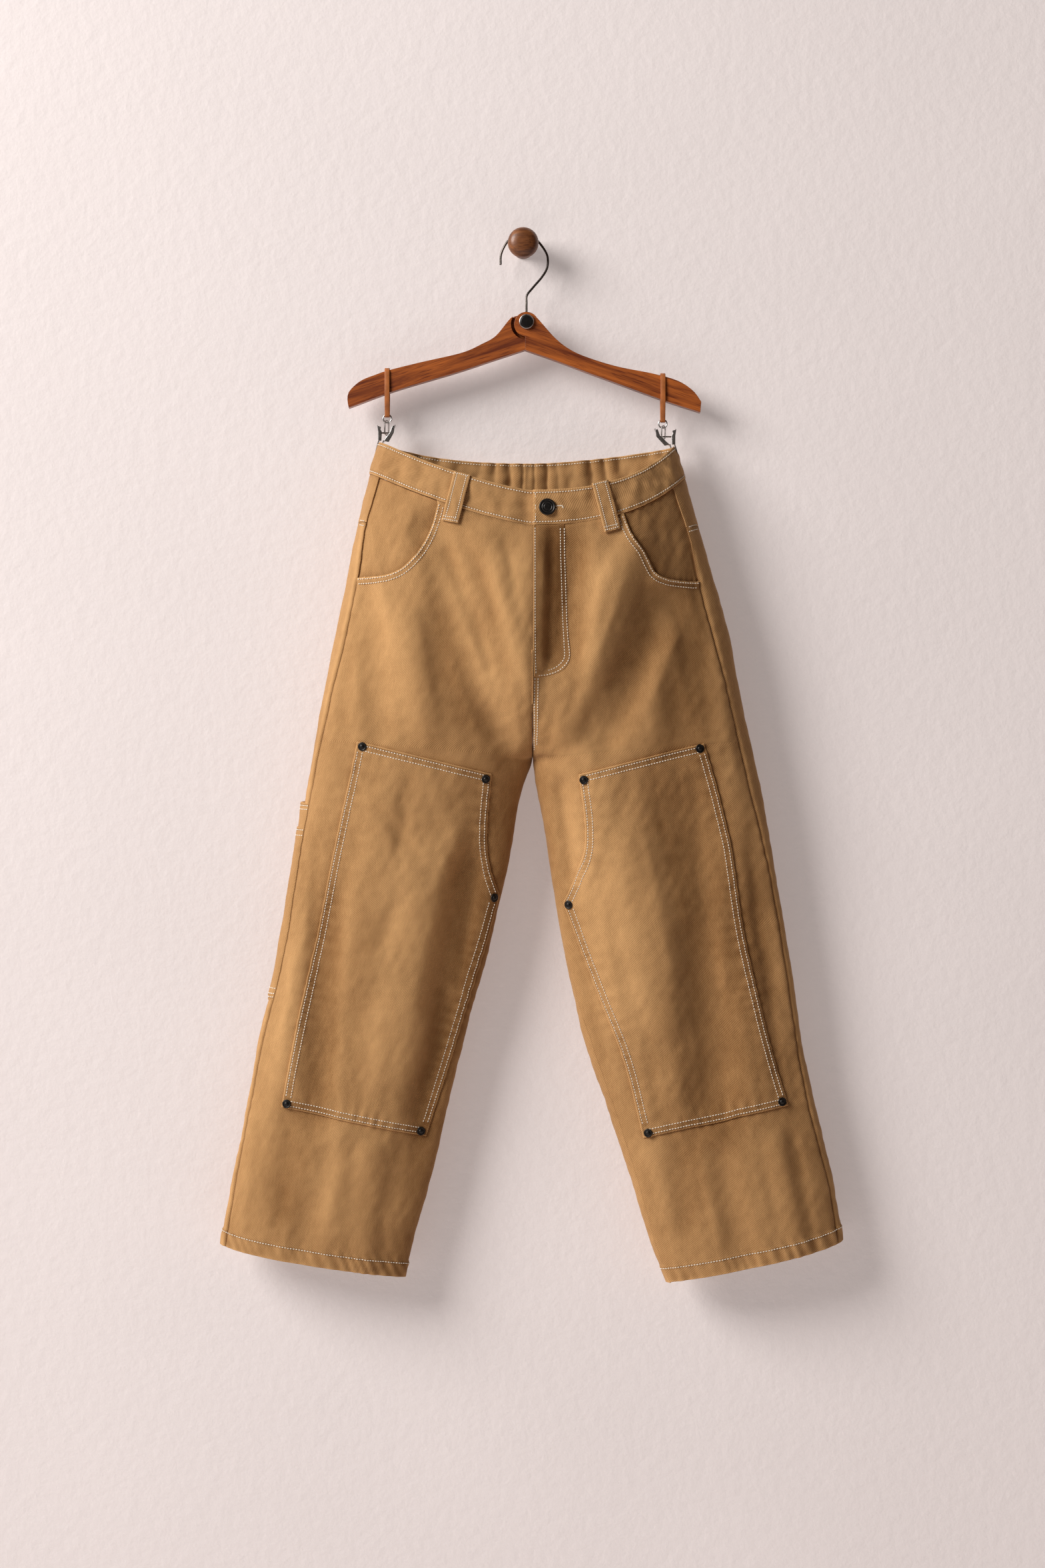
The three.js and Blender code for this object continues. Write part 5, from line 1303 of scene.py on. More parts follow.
RIVET_PROFILE = (
    (0, -0.4), (4.4, -0.4), (RIVET_RADIUS, 0.1), (RIVET_RADIUS, 0.75), (4.3, 1.1), (3.5, 1.15), (3.0, 0.85),
    (2.6, 0.8), (2.4, 1.5), (1.7, 2.1), (0.8, 2.38), (0, 2.42),
)
BUTTON_PROFILE = (
    (0, 0), (6, 0), (8.0, 0.5), (BUTTON_RADIUS, 1.3), (BUTTON_RADIUS, 2.6), (8.4, 3.3), (7.7, 3.55),
    (7.0, 3.35), (6.5, 2.9), (5.7, 2.9), (5.3, 3.3), (4.7, 3.3), (4.3, 2.85), (3.7, 2.8), (3.3, 3.15),
    (2.2, 3.2), (0, 3.2),
)


def tube(name, points, radius, material, sides=14, steps=10):
    """Wire along a smooth curve through points in mm."""
    line = smooth_line(points, len(points) * steps)
    bm = bmesh.new()
    rings = []
    up = Vector((0, 1, 0))
    for k, point in enumerate(line):
        ahead = line[min(k + 1, len(line) - 1)] - line[max(k - 1, 0)]
        way = Vector(ahead).normalized()
        side = way.cross(up).normalized()
        up = side.cross(way).normalized()
        turn = Matrix((side, up, way)).transposed().to_4x4()
        place = Matrix.Translation(Vector(point) * MM) @ turn
        made = bmesh.ops.create_circle(bm, cap_ends=False, segments=sides, radius=radius * MM, matrix=place)
        rings.append(made["verts"])
    for pair in zip(rings[:-1], rings[1:]):
        edges = []
        for ring in pair:
            touching = {e for v in ring for e in v.link_edges}
            edges.extend(e for e in touching if all(v in ring for v in e.verts))
        bmesh.ops.bridge_loops(bm, edges=edges)
    for ring in (rings[0], rings[-1]):
        bmesh.ops.contextual_create(bm, geom=ring)
    return built(name, bm, material)


HOOK_POINTS = (
    (-24, -19, -21), (-23.4, -19, -9.5), (-17.5, -19, 2.5), (-9, -19, 9.6), (0, -19, 11.7), (9.5, -19, 9.6),
    (17.5, -19, 2), (24, -19.5, -7.5), (26.2, -20, -15), (25.3, -21, -25), (20, -22.5, -34.5),
    (10.6, -24.5, -45.8), (4, -26, -54.5), (3.5, -27, -63), (3.5, -27, -72.6),
)
RIGHT_ARM = (
    (2.1, -113), (-31.4, -124), (-70.5, -137), (-136, -156.5), (-184.6, -174.4), (-186, -166), (-184, -157),
    (-172, -146), (-156.5, -139.6), (-142.4, -134.8), (-109.6, -126.6), (-65.5, -116.4), (-44.4, -107.3),
    (-29, -98.4), (-13.4, -79.8), (-5.5, -76), (2.1, -80),
)
LEFT_ARM = (
    (2.05, -80), (8, -76.5), (13, -77.6), (23.3, -89), (33.8, -100.6), (47, -111.2), (65, -120),
    (99, -130.6), (138, -138.4), (164, -146), (180, -156.6), (188.5, -168), (187.5, -179.2), (151, -167.4),
    (86, -143.7), (33.8, -124.2), (2.05, -113.2),
)
SHARP_TURN = 0.62
SORT_WAY = Vector((1.0, 0.3137, 0.5711))


def eased_outline(points):
    """Closed outline with its blunt corners rounded and its sharp corners kept."""
    given = np.array(points, float)
    count = len(given)
    turns = []
    for k in range(count):
        a, b, c = given[k - 1], given[k], given[(k + 1) % count]
        turns.append(math.acos(np.clip(np.dot(unit(b - a), unit(c - b)), -1, 1)))
    corners = [k for k in range(count) if turns[k] > SHARP_TURN]
    outline = []
    for start, stop in zip(corners, corners[1:] + [corners[0] + count]):
        run = [given[k % count] for k in range(start, stop + 1)]
        if len(run) > 2:
            length = np.linalg.norm(np.diff(run, axis=0), axis=1).sum()
            run = smooth_line(run, max(int(length / 4), 4))
        outline.extend(run[:-1])
    return np.array(outline)


def prism(name, outline, near, far, material=None):
    """Plate with an outline seen from the front, between two depths in mm."""
    bm = bmesh.new()
    verts = [bm.verts.new((x * MM, near * MM, z * MM)) for x, z in outline]
    face = bm.faces.new(verts)
    made = bmesh.ops.extrude_face_region(bm, geom=[face], use_keep_orig=True)
    moved = [v for v in made["geom"] if isinstance(v, bmesh.types.BMVert)]
    bmesh.ops.translate(bm, verts=moved, vec=(0, (far - near) * MM, 0))
    bmesh.ops.recalc_face_normals(bm, faces=bm.faces)
    mesh = bpy.data.meshes.new(name)
    bm.to_mesh(mesh)
    bm.free()
    obj = bpy.data.objects.new(name, mesh)
    bpy.context.scene.collection.objects.link(obj)
    if material:
        mesh.materials.append(material)
    return obj


def circle(radius, count=64):
    angle = np.linspace(0, 2 * math.pi, count, endpoint=False)
    return np.stack([PIVOT_X + radius * np.cos(angle), PIVOT_Z - 1 + radius * np.sin(angle)], axis=1)


def joined(body, tool, operation):
    """Result of a boolean of two plates, as the first one's mesh."""
    step = body.modifiers.new("cut", "BOOLEAN")
    step.operation = operation
    step.solver = "EXACT"
    step.object = tool
    graph = bpy.context.evaluated_depsgraph_get()
    mesh = bpy.data.meshes.new_from_object(body.evaluated_get(graph))
    body.modifiers.clear()
    body.data = mesh
    bpy.data.objects.remove(tool)


def bevelled(obj, width, segments, angle):
    bevel = obj.modifiers.new("edges", "BEVEL")
    bevel.width = width * MM
    bevel.segments = segments
    bevel.limit_method = "ANGLE"
    bevel.angle_limit = math.radians(angle)


def sort_by_place(bm):
    """Puts a cut plate's parts in a fixed order, as a boolean leaves them in one that changes."""
    bm.verts.sort(key=lambda v: v.co.dot(SORT_WAY))
    bm.edges.sort(key=lambda e: (e.verts[0].co + e.verts[1].co).dot(SORT_WAY))
    bm.faces.sort(key=lambda f: f.calc_center_median().dot(SORT_WAY))


def round_edges(obj, width, segments=3, angle=32):
    """Rounds a cut plate's edges; its flat faces stay flat in the shading."""
    bm = bmesh.new()
    bm.from_mesh(obj.data)
    bmesh.ops.remove_doubles(bm, verts=bm.verts, dist=1e-6)
    sort_by_place(bm)
    bmesh.ops.dissolve_limit(bm, angle_limit=math.radians(0.5), verts=bm.verts, edges=bm.edges)
    sort_by_place(bm)
    bm.to_mesh(obj.data)
    bm.free()
    bevelled(obj, width, segments, angle)
    obj.data.shade_smooth()
    smooth = obj.modifiers.new("normals", "WEIGHTED_NORMAL")
    smooth.keep_sharp = False
    smooth.weight = 80


def hanger_arm(name, outline, rear_joint, material):
    near = HANGER_BACK - HANGER_THICK
    body = prism(name, eased_outline(outline), near, HANGER_BACK, material)
    joined(body, prism("lobe", circle(LOBE_RADIUS), near, HANGER_BACK), "UNION")
    if rear_joint:
        cutter = prism("cutter", circle(JOINT_RADIUS), near - 1, HANGER_Y + GAP / 2)
    else:
        cutter = prism("cutter", circle(JOINT_RADIUS), HANGER_Y - GAP / 2, HANGER_BACK + 1)
    joined(body, cutter, "DIFFERENCE")
    round_edges(body, 1.6)
    return body


KNOB_PROFILE = (
    (0, 0), (12, 0), (12, -2.4), (11.2, -3.6), (10, -5.6), (9.8, -8), (9.8, -22), (10.4, -25), (12.5, -27),
    (14.6, -29.2), (15.9, -31.8), (16.4, -34.6), (16.2, -37.4), (15.2, -40.2), (13.2, -42.6), (10.2, -44.3),
    (6.6, -45.2), (0, -45.5),
)


def strap_outline(top, margin):
    half = HANGER_THICK / 2 + 0.5 + margin
    low = top - 50
    arch = np.linspace(0, np.pi, 17)
    foot = np.linspace(np.pi, 2 * np.pi, 9)
    narrow = 1.5 + margin
    over = np.stack([half * np.cos(arch), top - 4 + (4 + margin) * np.sin(arch)], axis=1)
    under = np.stack([narrow * np.cos(foot), low + 1.5 + narrow * np.sin(foot)], axis=1)
    left = smooth_line([over[-1], (-half - 0.3, top - 29), under[0]], 24)[1:-1]
    right = smooth_line([under[-1], (half + 0.3, top - 29), over[0]], 24)[1:-1]
    return np.vstack([over, left, under, right])


def strap_loop(name, x, top, material):
    """Leather strap looped over the arm, made by joining its inner and outer outline."""
    bm = bmesh.new()
    width, thick = 5.2, 1.2
    loops = []
    for margin in (0, thick):
        outline = strap_outline(top, margin)
        verts = [bm.verts.new(((x - width / 2) * MM, (HANGER_Y + y) * MM, z * MM)) for y, z in outline]
        edges = [bm.edges.new((verts[k - 1], verts[k])) for k in range(len(verts))]
        loops.append(edges)
    made = bmesh.ops.bridge_loops(bm, edges=loops[0] + loops[1])
    moved = bmesh.ops.extrude_face_region(bm, geom=made["faces"], use_keep_orig=True)
    far = [v for v in moved["geom"] if isinstance(v, bmesh.types.BMVert)]
    bmesh.ops.translate(bm, verts=far, vec=(width * MM, 0, 0))
    obj = built(name, bm, material)
    bevelled(obj, 0.3, 2, 50)
    return obj


def clip_cheeks(side, link_x, material):
    """Bent front edges of the clip's two plates, from the waistband up to their handles."""
    leg = LEGS[side]
    out = leg.sign
    pin = leg.top + 11.5
    low = leg.top + 2
    outer = float(round_point(leg, 0.5, leg.top)[0]) + out * (BAND_PROUD + 2 * GAP)
    inner = link_x - out * 5.4
    foot = outer - out * (BAND_CLOTH + 4 * GAP + 1.5)
    outer_edge_line = [
        (outer + out, low), (outer + out, pin), (outer + out * 2, pin + 6.6), (outer - out * 2.4, pin + 5.2),
        (outer - out * 1.6, pin + 2.4), (outer - out * 3.2, pin), (outer - out * 2.6, low),
    ]
    inner_edge_line = [
        (foot, low), (inner + out * 1.4, pin), (inner - out * 1.2, pin + 7), (inner - out * 3.6, pin + 6.2),
        (inner - out * 2.6, pin - 1), (foot - out * 5.2, low - 1.2),
    ]
    cheeks = []
    for number, line in enumerate((outer_edge_line, inner_edge_line), 1):
        cheek = prism(f"clip_{side}_cheek_{number}", np.array(line), -38.9, -37.9, material)
        round_edges(cheek, 0.35, 2, 50)
        cheeks.append(cheek)
    return cheeks


def ring_of(name, x, z, material, radius=4.4, wire=0.8):
    angle = np.linspace(0, 2 * math.pi, 15)
    profile = [(radius + wire * math.cos(a), wire * math.sin(a)) for a in angle]
    obj = turned(name, profile, material, 32)
    set_mesh(obj, Matrix.Translation(Vector((x, HANGER_Y, z)) * MM))
    return obj


# Materials

class Finish:
    """A new material, with short ways to add nodes and to set its shader."""

    def __init__(self, name):
        self.material = bpy.data.materials.new(name)
        self.material.use_nodes = True
        self.tree = self.material.node_tree
        self.shader = self.tree.nodes["Principled BSDF"]

    def add(self, kind, links=(), **values):
        """New shader node; a value whose name starts with in_ sets a socket."""
        node = self.tree.nodes.new("ShaderNode" + kind)
        for key, value in values.items():
            if key.startswith("in_"):
                index = key[3:]
                socket = node.inputs[int(index)] if index.isdigit() else node.inputs[index.replace("_", " ")]
                socket.default_value = value
            else:
                setattr(node, key, value)
        for socket, source in links:
            self.tree.links.new(source, node.inputs[socket])
        return node

    def place(self):
        return self.add("TexCoord").outputs["Object"]

    def stretched(self, place, scale):
        return self.add("Mapping", [("Vector", place)], in_Scale=scale).outputs[0]

    def noise(self, place, scale, detail, roughness=0.5, distortion=0.0):
        return self.add(
            "TexNoise", [("Vector", place)], in_Scale=scale, in_Detail=detail, in_Roughness=roughness,
            in_Distortion=distortion,
        ).outputs["Fac"]

    def plus(self, first, second, gain):
        """first + second x gain."""
        return self.add("Math", [(0, second), (2, first)], operation="MULTIPLY_ADD", in_1=gain).outputs[0]

    def ramp(self, level, low, dark, high, light):
        """Colour that goes from dark at a low level to light at a high one."""
        node = self.add("ValToRGB", [("Fac", level)])
        for stop, position, colour in zip(node.color_ramp.elements, (low, high), (dark, light)):
            stop.position = position
            stop.color = (*colour, 1)
        return node.outputs["Color"]

    def bump(self, height, strength, distance, links=()):
        links = [("Height", height), *links]
        return self.add("Bump", links, in_Strength=strength, in_Distance=distance).outputs[0]

    def done(self, values):
        """Links or sets the shader's sockets and gives the material."""
        for name, value in values.items():
            if isinstance(value, bpy.types.NodeSocket):
                self.tree.links.new(value, self.shader.inputs[name])
            else:
                self.shader.inputs[name].default_value = value
        return self.material


def darker(colour, share):
    return [share * c for c in colour]


def twill_material(name, dark, light, bright):
    """Diagonal twill with slubs, faded patches and a fine sheen; its attribute adds worn edges, painted shade
    and painted highlights.
    """
    finish = Finish(name)
    weave = finish.add("UVMap", uv_map="weave").outputs["UV"]
    slanted_weave = finish.add("Mapping", [("Vector", weave)], in_Rotation=(0, 0, math.radians(-126)))
    wales = finish.add(
        "TexWave", [("Vector", slanted_weave.outputs[0])], wave_type="BANDS", bands_direction="X",
        wave_profile="SIN", in_Scale=WALES_IN_A_METRE, in_Distortion=1.2, in_Detail=1.5, in_Detail_Scale=2.2,
    ).outputs["Fac"]
    slub = finish.noise(finish.stretched(weave, (1, 0.16, 1)), 620.0, 3.0, 0.6)
    place = finish.place()
    faded = finish.noise(place, 9.0, 5.0, 0.58)
    mottle = finish.noise(place, 55.0, 3.0, 0.6)
    # Worn edges and painted shade and highlights, from the cloth pieces' attribute
    worn_and_shaded = finish.add("Attribute", attribute_name="wear_and_shade", attribute_type="GEOMETRY").outputs["Fac"]
    start = finish.add("Math", [(0, wales)], operation="MULTIPLY_ADD", in_1=0.32, in_2=bright - 0.15)
    level = start.outputs[0]
    for part, gain in ((slub, 0.34), (faded, 0.5), (mottle, 0.26), (worn_and_shaded, 0.55)):
        level = finish.plus(level, part, gain)
    bump = finish.bump(finish.plus(wales, slub, 0.8), 0.45, 0.0003)
    return finish.done({
        "Base Color": finish.ramp(level, 0.0, dark, 1.0, light),
        "Normal": finish.bump(mottle, 0.35, 0.0012, [("Normal", bump)]),
        "Roughness": 0.88, "Specular IOR Level": 0.25, "Sheen Weight": 0.12, "Sheen Roughness": 0.45,
        "Sheen Tint": (1.0, 0.86, 0.66, 1),
    })


def thread_material(colour):
    finish = Finish("cream_thread")
    ply = finish.noise(finish.place(), 1500.0, 2.0)
    return finish.done({
        "Base Color": finish.ramp(ply, 0.3, darker(colour, 0.8), 0.62, colour),
        "Normal": finish.bump(ply, 0.5, 0.0002), "Roughness": 0.72,
    })


def metal_material(name, colour, roughness, metallic=1.0):
    """Plated metal with fine scratches and slightly uneven polish."""
    finish = Finish(name)
    place = finish.place()
    tarnish = finish.noise(place, 260.0, 4.0, 0.65)
    polish = finish.add("MapRange", [("Value", tarnish)], in_3=roughness * 0.75, in_4=roughness * 1.35)
    scratch = finish.noise(finish.stretched(place, (1, 6, 1)), 900.0, 2.0)
    return finish.done({
        "Base Color": finish.ramp(tarnish, 0.3, darker(colour, 0.68), 0.7, colour),
        "Roughness": polish.outputs[0], "Normal": finish.bump(scratch, 0.12, 0.0001), "Metallic": metallic,
    })


def wood_material(name, dark, light, lean, across=46.0, along=3.2, coat=0.15):
    """Varnished hardwood with streaks along its length, pores and darker bands."""
    finish = Finish(name)
    laid = finish.add("Mapping", [("Vector", finish.place())], in_Rotation=(0, lean, 0)).outputs[0]
    streak = finish.noise(finish.stretched(laid, (along, across, across)), 2.6, 7.0, 0.62, 0.5)
    pores = finish.noise(finish.stretched(laid, (along * 9, across * 14, across * 14)), 1.6, 2.0)
    pore_cut = finish.add("MapRange", [("Value", pores)], in_1=0.56, in_2=0.66, in_3=0.0, in_4=1.0)
    level = finish.plus(streak, pore_cut.outputs[0], -0.16)
    return finish.done({
        "Base Color": finish.ramp(level, 0.33, dark, 0.66, light), "Normal": finish.bump(level, 0.25, 0.0005),
        "Roughness": 0.42, "Coat Weight": coat, "Coat Roughness": 0.22,
    })


def leather_material(colour):
    finish = Finish("tan_leather")
    place = finish.place()
    grain = finish.add("TexVoronoi", [("Vector", place)], in_Scale=900.0).outputs["Distance"]
    return finish.done({
        "Base Color": finish.ramp(finish.noise(place, 120.0, 4.0), 0.3, darker(colour, 0.6), 0.7, colour),
        "Normal": finish.bump(grain, 0.3, 0.0003), "Roughness": 0.5,
    })


def plaster_material(colour, clear_from_behind):
    """Matt wall or floor with a faint trowelled surface and a little light of its own."""
    finish = Finish("plaster")
    place = finish.place()
    shade = finish.ramp(finish.noise(place, 3.2, 3.0), 0.25, darker(colour, 0.965), 0.75, colour)
    fine = finish.noise(place, 70.0, 6.0, 0.6)
    material = finish.done({
        "Base Color": shade, "Normal": finish.bump(fine, 0.3, 0.004), "Roughness": 0.95,
        "Specular IOR Level": 0.1, "Emission Color": shade, "Emission Strength": WALL_GLOW,
    })
    if clear_from_behind:
        clear = finish.add("BsdfTransparent").outputs[0]
        behind = finish.add("NewGeometry").outputs["Backfacing"]
        choice = finish.add("MixShader", [(0, behind), (1, finish.shader.outputs[0]), (2, clear)])
        finish.tree.links.new(choice.outputs[0], finish.tree.nodes["Material Output"].inputs["Surface"])
    return material


def kept_material(name, build):
    """A material by its name, built on its first use."""
    found = bpy.data.materials.get(name)
    return found or build()


def twill(context, name="tan_twill", bright=0.0):
    cloth = context.scene.pants_cloth
    return kept_material(name, lambda: twill_material(name, cloth.dark_tan, cloth.light_tan, bright))


def thread(context):
    cloth = context.scene.pants_cloth
    return kept_material("cream_thread", lambda: thread_material(cloth.thread))


def dark_plate(context):
    trim = context.scene.pants_trim
    return kept_material("dark_plate", lambda: metal_material("dark_plate", trim.dark_metal, 0.36, 0.7))


def bright_plate(context):
    trim = context.scene.pants_trim
    return kept_material("bright_plate", lambda: metal_material("bright_plate", trim.bright_metal, 0.3))


# Settings that a user would change

class PantsCloth(bpy.types.PropertyGroup):
    light_tan: bpy.props.FloatVectorProperty(
        name="Light tan", description="Colour of the raised and worn twill", subtype="COLOR", size=3,
        default=(0.68, 0.385, 0.16), min=0, max=1,
    )
    # Painted shade of troughs, grooves, inner legs and pockets also moves the twill towards this colour
    dark_tan: bpy.props.FloatVectorProperty(
        name="Dark tan", description="Colour of the twill between its wales and in seams", subtype="COLOR",
        size=3, default=(0.20, 0.085, 0.022), min=0, max=1,
    )
    thread: bpy.props.FloatVectorProperty(
        name="Thread", description="Colour of the topstitching", subtype="COLOR", size=3,
        default=(0.95, 0.87, 0.73), min=0, max=1,
    )
    stitch_pitch: bpy.props.FloatProperty(
        name="Stitch pitch", description="Distance from stitch to stitch in mm", default=STITCH_PITCH,
        min=1.5, max=6,
    )


class PantsTrim(bpy.types.PropertyGroup):
    dark_metal: bpy.props.FloatVectorProperty(
        name="Dark plating", description="Colour of rivets and button", subtype="COLOR", size=3,
        default=(0.028, 0.025, 0.023), min=0, max=1,
    )
    bright_metal: bpy.props.FloatVectorProperty(
        name="Bright plating", description="Colour of rings, links and clips", subtype="COLOR", size=3,
        default=(0.66, 0.64, 0.62), min=0, max=1,
    )
    leather: bpy.props.FloatVectorProperty(
        name="Leather", description="Colour of the straps", subtype="COLOR", size=3,
        default=(0.55, 0.17, 0.04), min=0, max=1,
    )
    wood_dark: bpy.props.FloatVectorProperty(
        name="Dark grain", description="Dark streaks of the hanger", subtype="COLOR", size=3,
        default=(0.13, 0.022, 0.004), min=0, max=1,
    )
    wood_light: bpy.props.FloatVectorProperty(
        name="Light grain", description="Light streaks of the hanger", subtype="COLOR", size=3,
        default=(0.50, 0.13, 0.02), min=0, max=1,
    )


class PantsStage(bpy.types.PropertyGroup):
    distance: bpy.props.FloatProperty(
        name="Camera distance", description="From the front of the cloth to the camera", default=3.5,
        unit="LENGTH",
    )
    lens: bpy.props.FloatProperty(
        name="Lens", description="Focal length in mm on a 36 mm long side", default=76.53, min=20, max=200,
    )
    wall: bpy.props.FloatVectorProperty(
        name="Wall", description="Colour of wall and floor", subtype="COLOR", size=3,
        default=(0.65, 0.588, 0.572), min=0, max=1,
    )
    key: bpy.props.FloatProperty(
        name="Key light", description="Power of the main light in watts", default=240.0,
    )
    world: bpy.props.FloatProperty(name="Surround", description="Strength of the even light", default=0.045)


# Operators


class PANTS_OT_panels(bpy.types.Operator):
    """Front and back panels of both legs"""

    bl_idname = "pants.panels"
    bl_label = "Panels"

    def execute(self, context):
        cloth = twill(context)
        for leg in LEGS.values():
            front = finish_piece(front_panel(leg, cloth), (f"front_{leg.name}",))
            back = finish_piece(back_panel(leg, cloth), (f"back_{leg.name}",))
        return {"FINISHED"}


class PANTS_OT_waist(bpy.types.Operator):
    """Waistband and the two gathered yokes"""

    bl_idname = "pants.waist"
    bl_label = "Waist"

    def execute(self, context):
        cloth = twill(context)
        band = finish_piece(waistband_piece(cloth), ("waistband",))
        for leg in LEGS.values():
            yoke = finish_piece(yoke_piece(leg, cloth), (f"yoke_{leg.name}",))
        return {"FINISHED"}


class PANTS_OT_patches(bpy.types.Operator):
    """Knee patches and the fly's overlap"""

    bl_idname = "pants.patches"
    bl_label = "Patches and fly"

    def execute(self, context):
        cloth = twill(context)
        for leg in LEGS.values():
            patch = finish_piece(knee_patch(leg, cloth), (f"knee_patch_{leg.name}",))
        fly = finish_piece(fly_overlay(cloth), ("fly_piece",))
        return {"FINISHED"}


class PANTS_OT_pockets(bpy.types.Operator):
    """Pocket pieces behind the hip pockets and the two tool pockets"""

    bl_idname = "pants.pockets"
    bl_label = "Pockets"

    def execute(self, context):
        # A darker copy of the twill: painted shade of the pocket pieces
        shaded = twill(context, "shaded_twill", -0.08)
        for leg in LEGS.values():
            piece = finish_piece(pocket_piece(leg, shaded), (f"pocket_piece_{leg.name}",))
        for name, seam_top, back_top, bottom, width, lift, gape in TOOL_POCKETS:
            pocket = tool_pocket(name, seam_top, back_top, bottom, width, lift, gape, twill(context))
            finish_piece(pocket, (name,))
        return {"FINISHED"}


class PANTS_OT_loops(bpy.types.Operator):
    """Two front and three back belt loops"""

    bl_idname = "pants.loops"
    bl_label = "Belt loops"

    def execute(self, context):
        cloth = twill(context)
        for name, side, *place in FRONT_LOOPS:
            loop = finish_piece(front_loop(name, side, *place, cloth), (name,))
        for name, side, x in BACK_LOOPS:
            loop = finish_piece(back_loop(name, side, x, cloth), (name,))
        return {"FINISHED"}


class PANTS_OT_stitches(bpy.types.Operator):
    """Topstitching of every seam, as joined meshes"""

    bl_idname = "pants.stitches"
    bl_label = "Stitches"

    def execute(self, context):
        colour = thread(context)
        right, left = LEGS["right"], LEGS["left"]
        groups = {
            "stitches_hems": hem_rows(),
            "stitches_waistband": band_rows(),
            "stitches_patch_right": patch_rows(right),
            "stitches_patch_left": patch_rows(left),
            "stitches_front": mouth_rows(right) + mouth_rows(left) + fly_rows() + side_tack_rows(),
            "stitches_back": back_rows(),
        }
        for name, rows in groups.items():
            finish_piece(stitch_rows(name, rows, colour, context.scene.pants_cloth.stitch_pitch))
        finish_piece(stitch_rows("stitches_loops", front_loop_rows(), colour, 2.2))
        finish_piece(stitch_rows("stitches_buttonhole", buttonhole_rows(), colour, 1.7, 0.5, 0.45))
        return {"FINISHED"}


class PANTS_OT_metal(bpy.types.Operator):
    """Rivets and the waist button"""

    bl_idname = "pants.metal"
    bl_label = "Rivets and button"

    def execute(self, context):
        plate = dark_plate(context)
        for side, rivets in RIVETS.items():
            for number, (x, z) in enumerate(rivets, 1):
                rivet = turned(f"rivet_{side}_{number}_metal", smooth_profile(RIVET_PROFILE), plate, 28)
                seat(rivet, LEGS[side], x, z, PATCH_LIFT + CLOTH + 0.2)
                finish_piece(rivet, (f"rivet_{side}_{number}",))
        button = turned("waist_button_metal", smooth_profile(BUTTON_PROFILE), plate, 64)
        seat(button, LEGS["left"], 25, -285, BAND_PROUD + 0.3)
        finish_piece(button, ("waist_button",))
        return {"FINISHED"}


class PANTS_OT_hanger(bpy.types.Operator):
    """Wall knob, wire hook and the two wooden arms"""

    bl_idname = "pants.hanger"
    bl_label = "Knob and hanger"

    def execute(self, context):
        trim = context.scene.pants_trim
        knob_wood = wood_material(
            "turned_wood", (0.075, 0.02, 0.005), (0.27, 0.095, 0.028), 0.08, 60.0, 7.0, 0.1
        )
        knob = turned("knob_turned", smooth_profile(KNOB_PROFILE, 0.8), knob_wood, 64)
        finish_piece(knob, ("knob",))
        wire = metal_material("dark_wire", (0.16, 0.14, 0.125), 0.3)
        finish_piece(tube("hook_wire", HOOK_POINTS, 1.25, wire), ("hook",))
        for side, outline, rear, lean in (("right", RIGHT_ARM, True, 0.33), ("left", LEFT_ARM, False, -0.33)):
            wood = wood_material(f"arm_wood_{side}", trim.wood_dark, trim.wood_light, lean)
            arm = hanger_arm(f"hanger_arm_{side}_wood", outline, rear, wood)
            finish_piece(arm, (f"hanger_arm_{side}",))
        near = HANGER_BACK - HANGER_THICK - GAP
        ring = turned(
            "pivot_ring_metal",
            smooth_profile([(0, 0), (7.9, 0), (7.9, -2), (7.4, -2.7), (6.7, -2.8), (6.3, -2.4), (0, -2.4)]),
            bright_plate(context),
        )
        set_mesh(ring, Matrix.Translation(Vector((PIVOT_X, near, PIVOT_Z + 1.5)) * MM))
        finish_piece(ring, ("pivot_ring",))
        cap = turned(
            "pivot_cap_metal", smooth_profile([(0, 0), (6.2, 0), (6.2, -0.9), (5.6, -1.5), (0, -1.7)]),
            dark_plate(context),
        )
        set_mesh(cap, Matrix.Translation(Vector((PIVOT_X, near - 2.8, PIVOT_Z + 1.5)) * MM))
        finish_piece(cap, ("pivot_cap",))
        return {"FINISHED"}


class PANTS_OT_fittings(bpy.types.Operator):
    """Straps, rings, links and clips that carry the waistband"""

    bl_idname = "pants.fittings"
    bl_label = "Straps and clips"

    def execute(self, context):
        leather = leather_material(context.scene.pants_trim.leather)
        steel = bright_plate(context)
        for side, x, top in (("right", -144, -132.9), ("left", 148, -138.4)):
            finish_piece(strap_loop(f"strap_{side}_leather", x, top, leather), (f"strap_{side}",))
            low = top - 50
            ring_z = low + 4 * GAP + 0.8 - 4.4
            finish_piece(ring_of(f"ring_{side}_metal", x, ring_z, steel), (f"ring_{side}",))
            for cheek in clip_cheeks(side, x + 0.7 * LEGS[side].sign, steel):
                finish_piece(cheek)
            for node in (f"link_{side}", f"clip_{side}"):
                kept = bpy.data.objects[node]
                kept.data.materials.clear()
                kept.data.materials.append(steel)
        return {"FINISHED"}


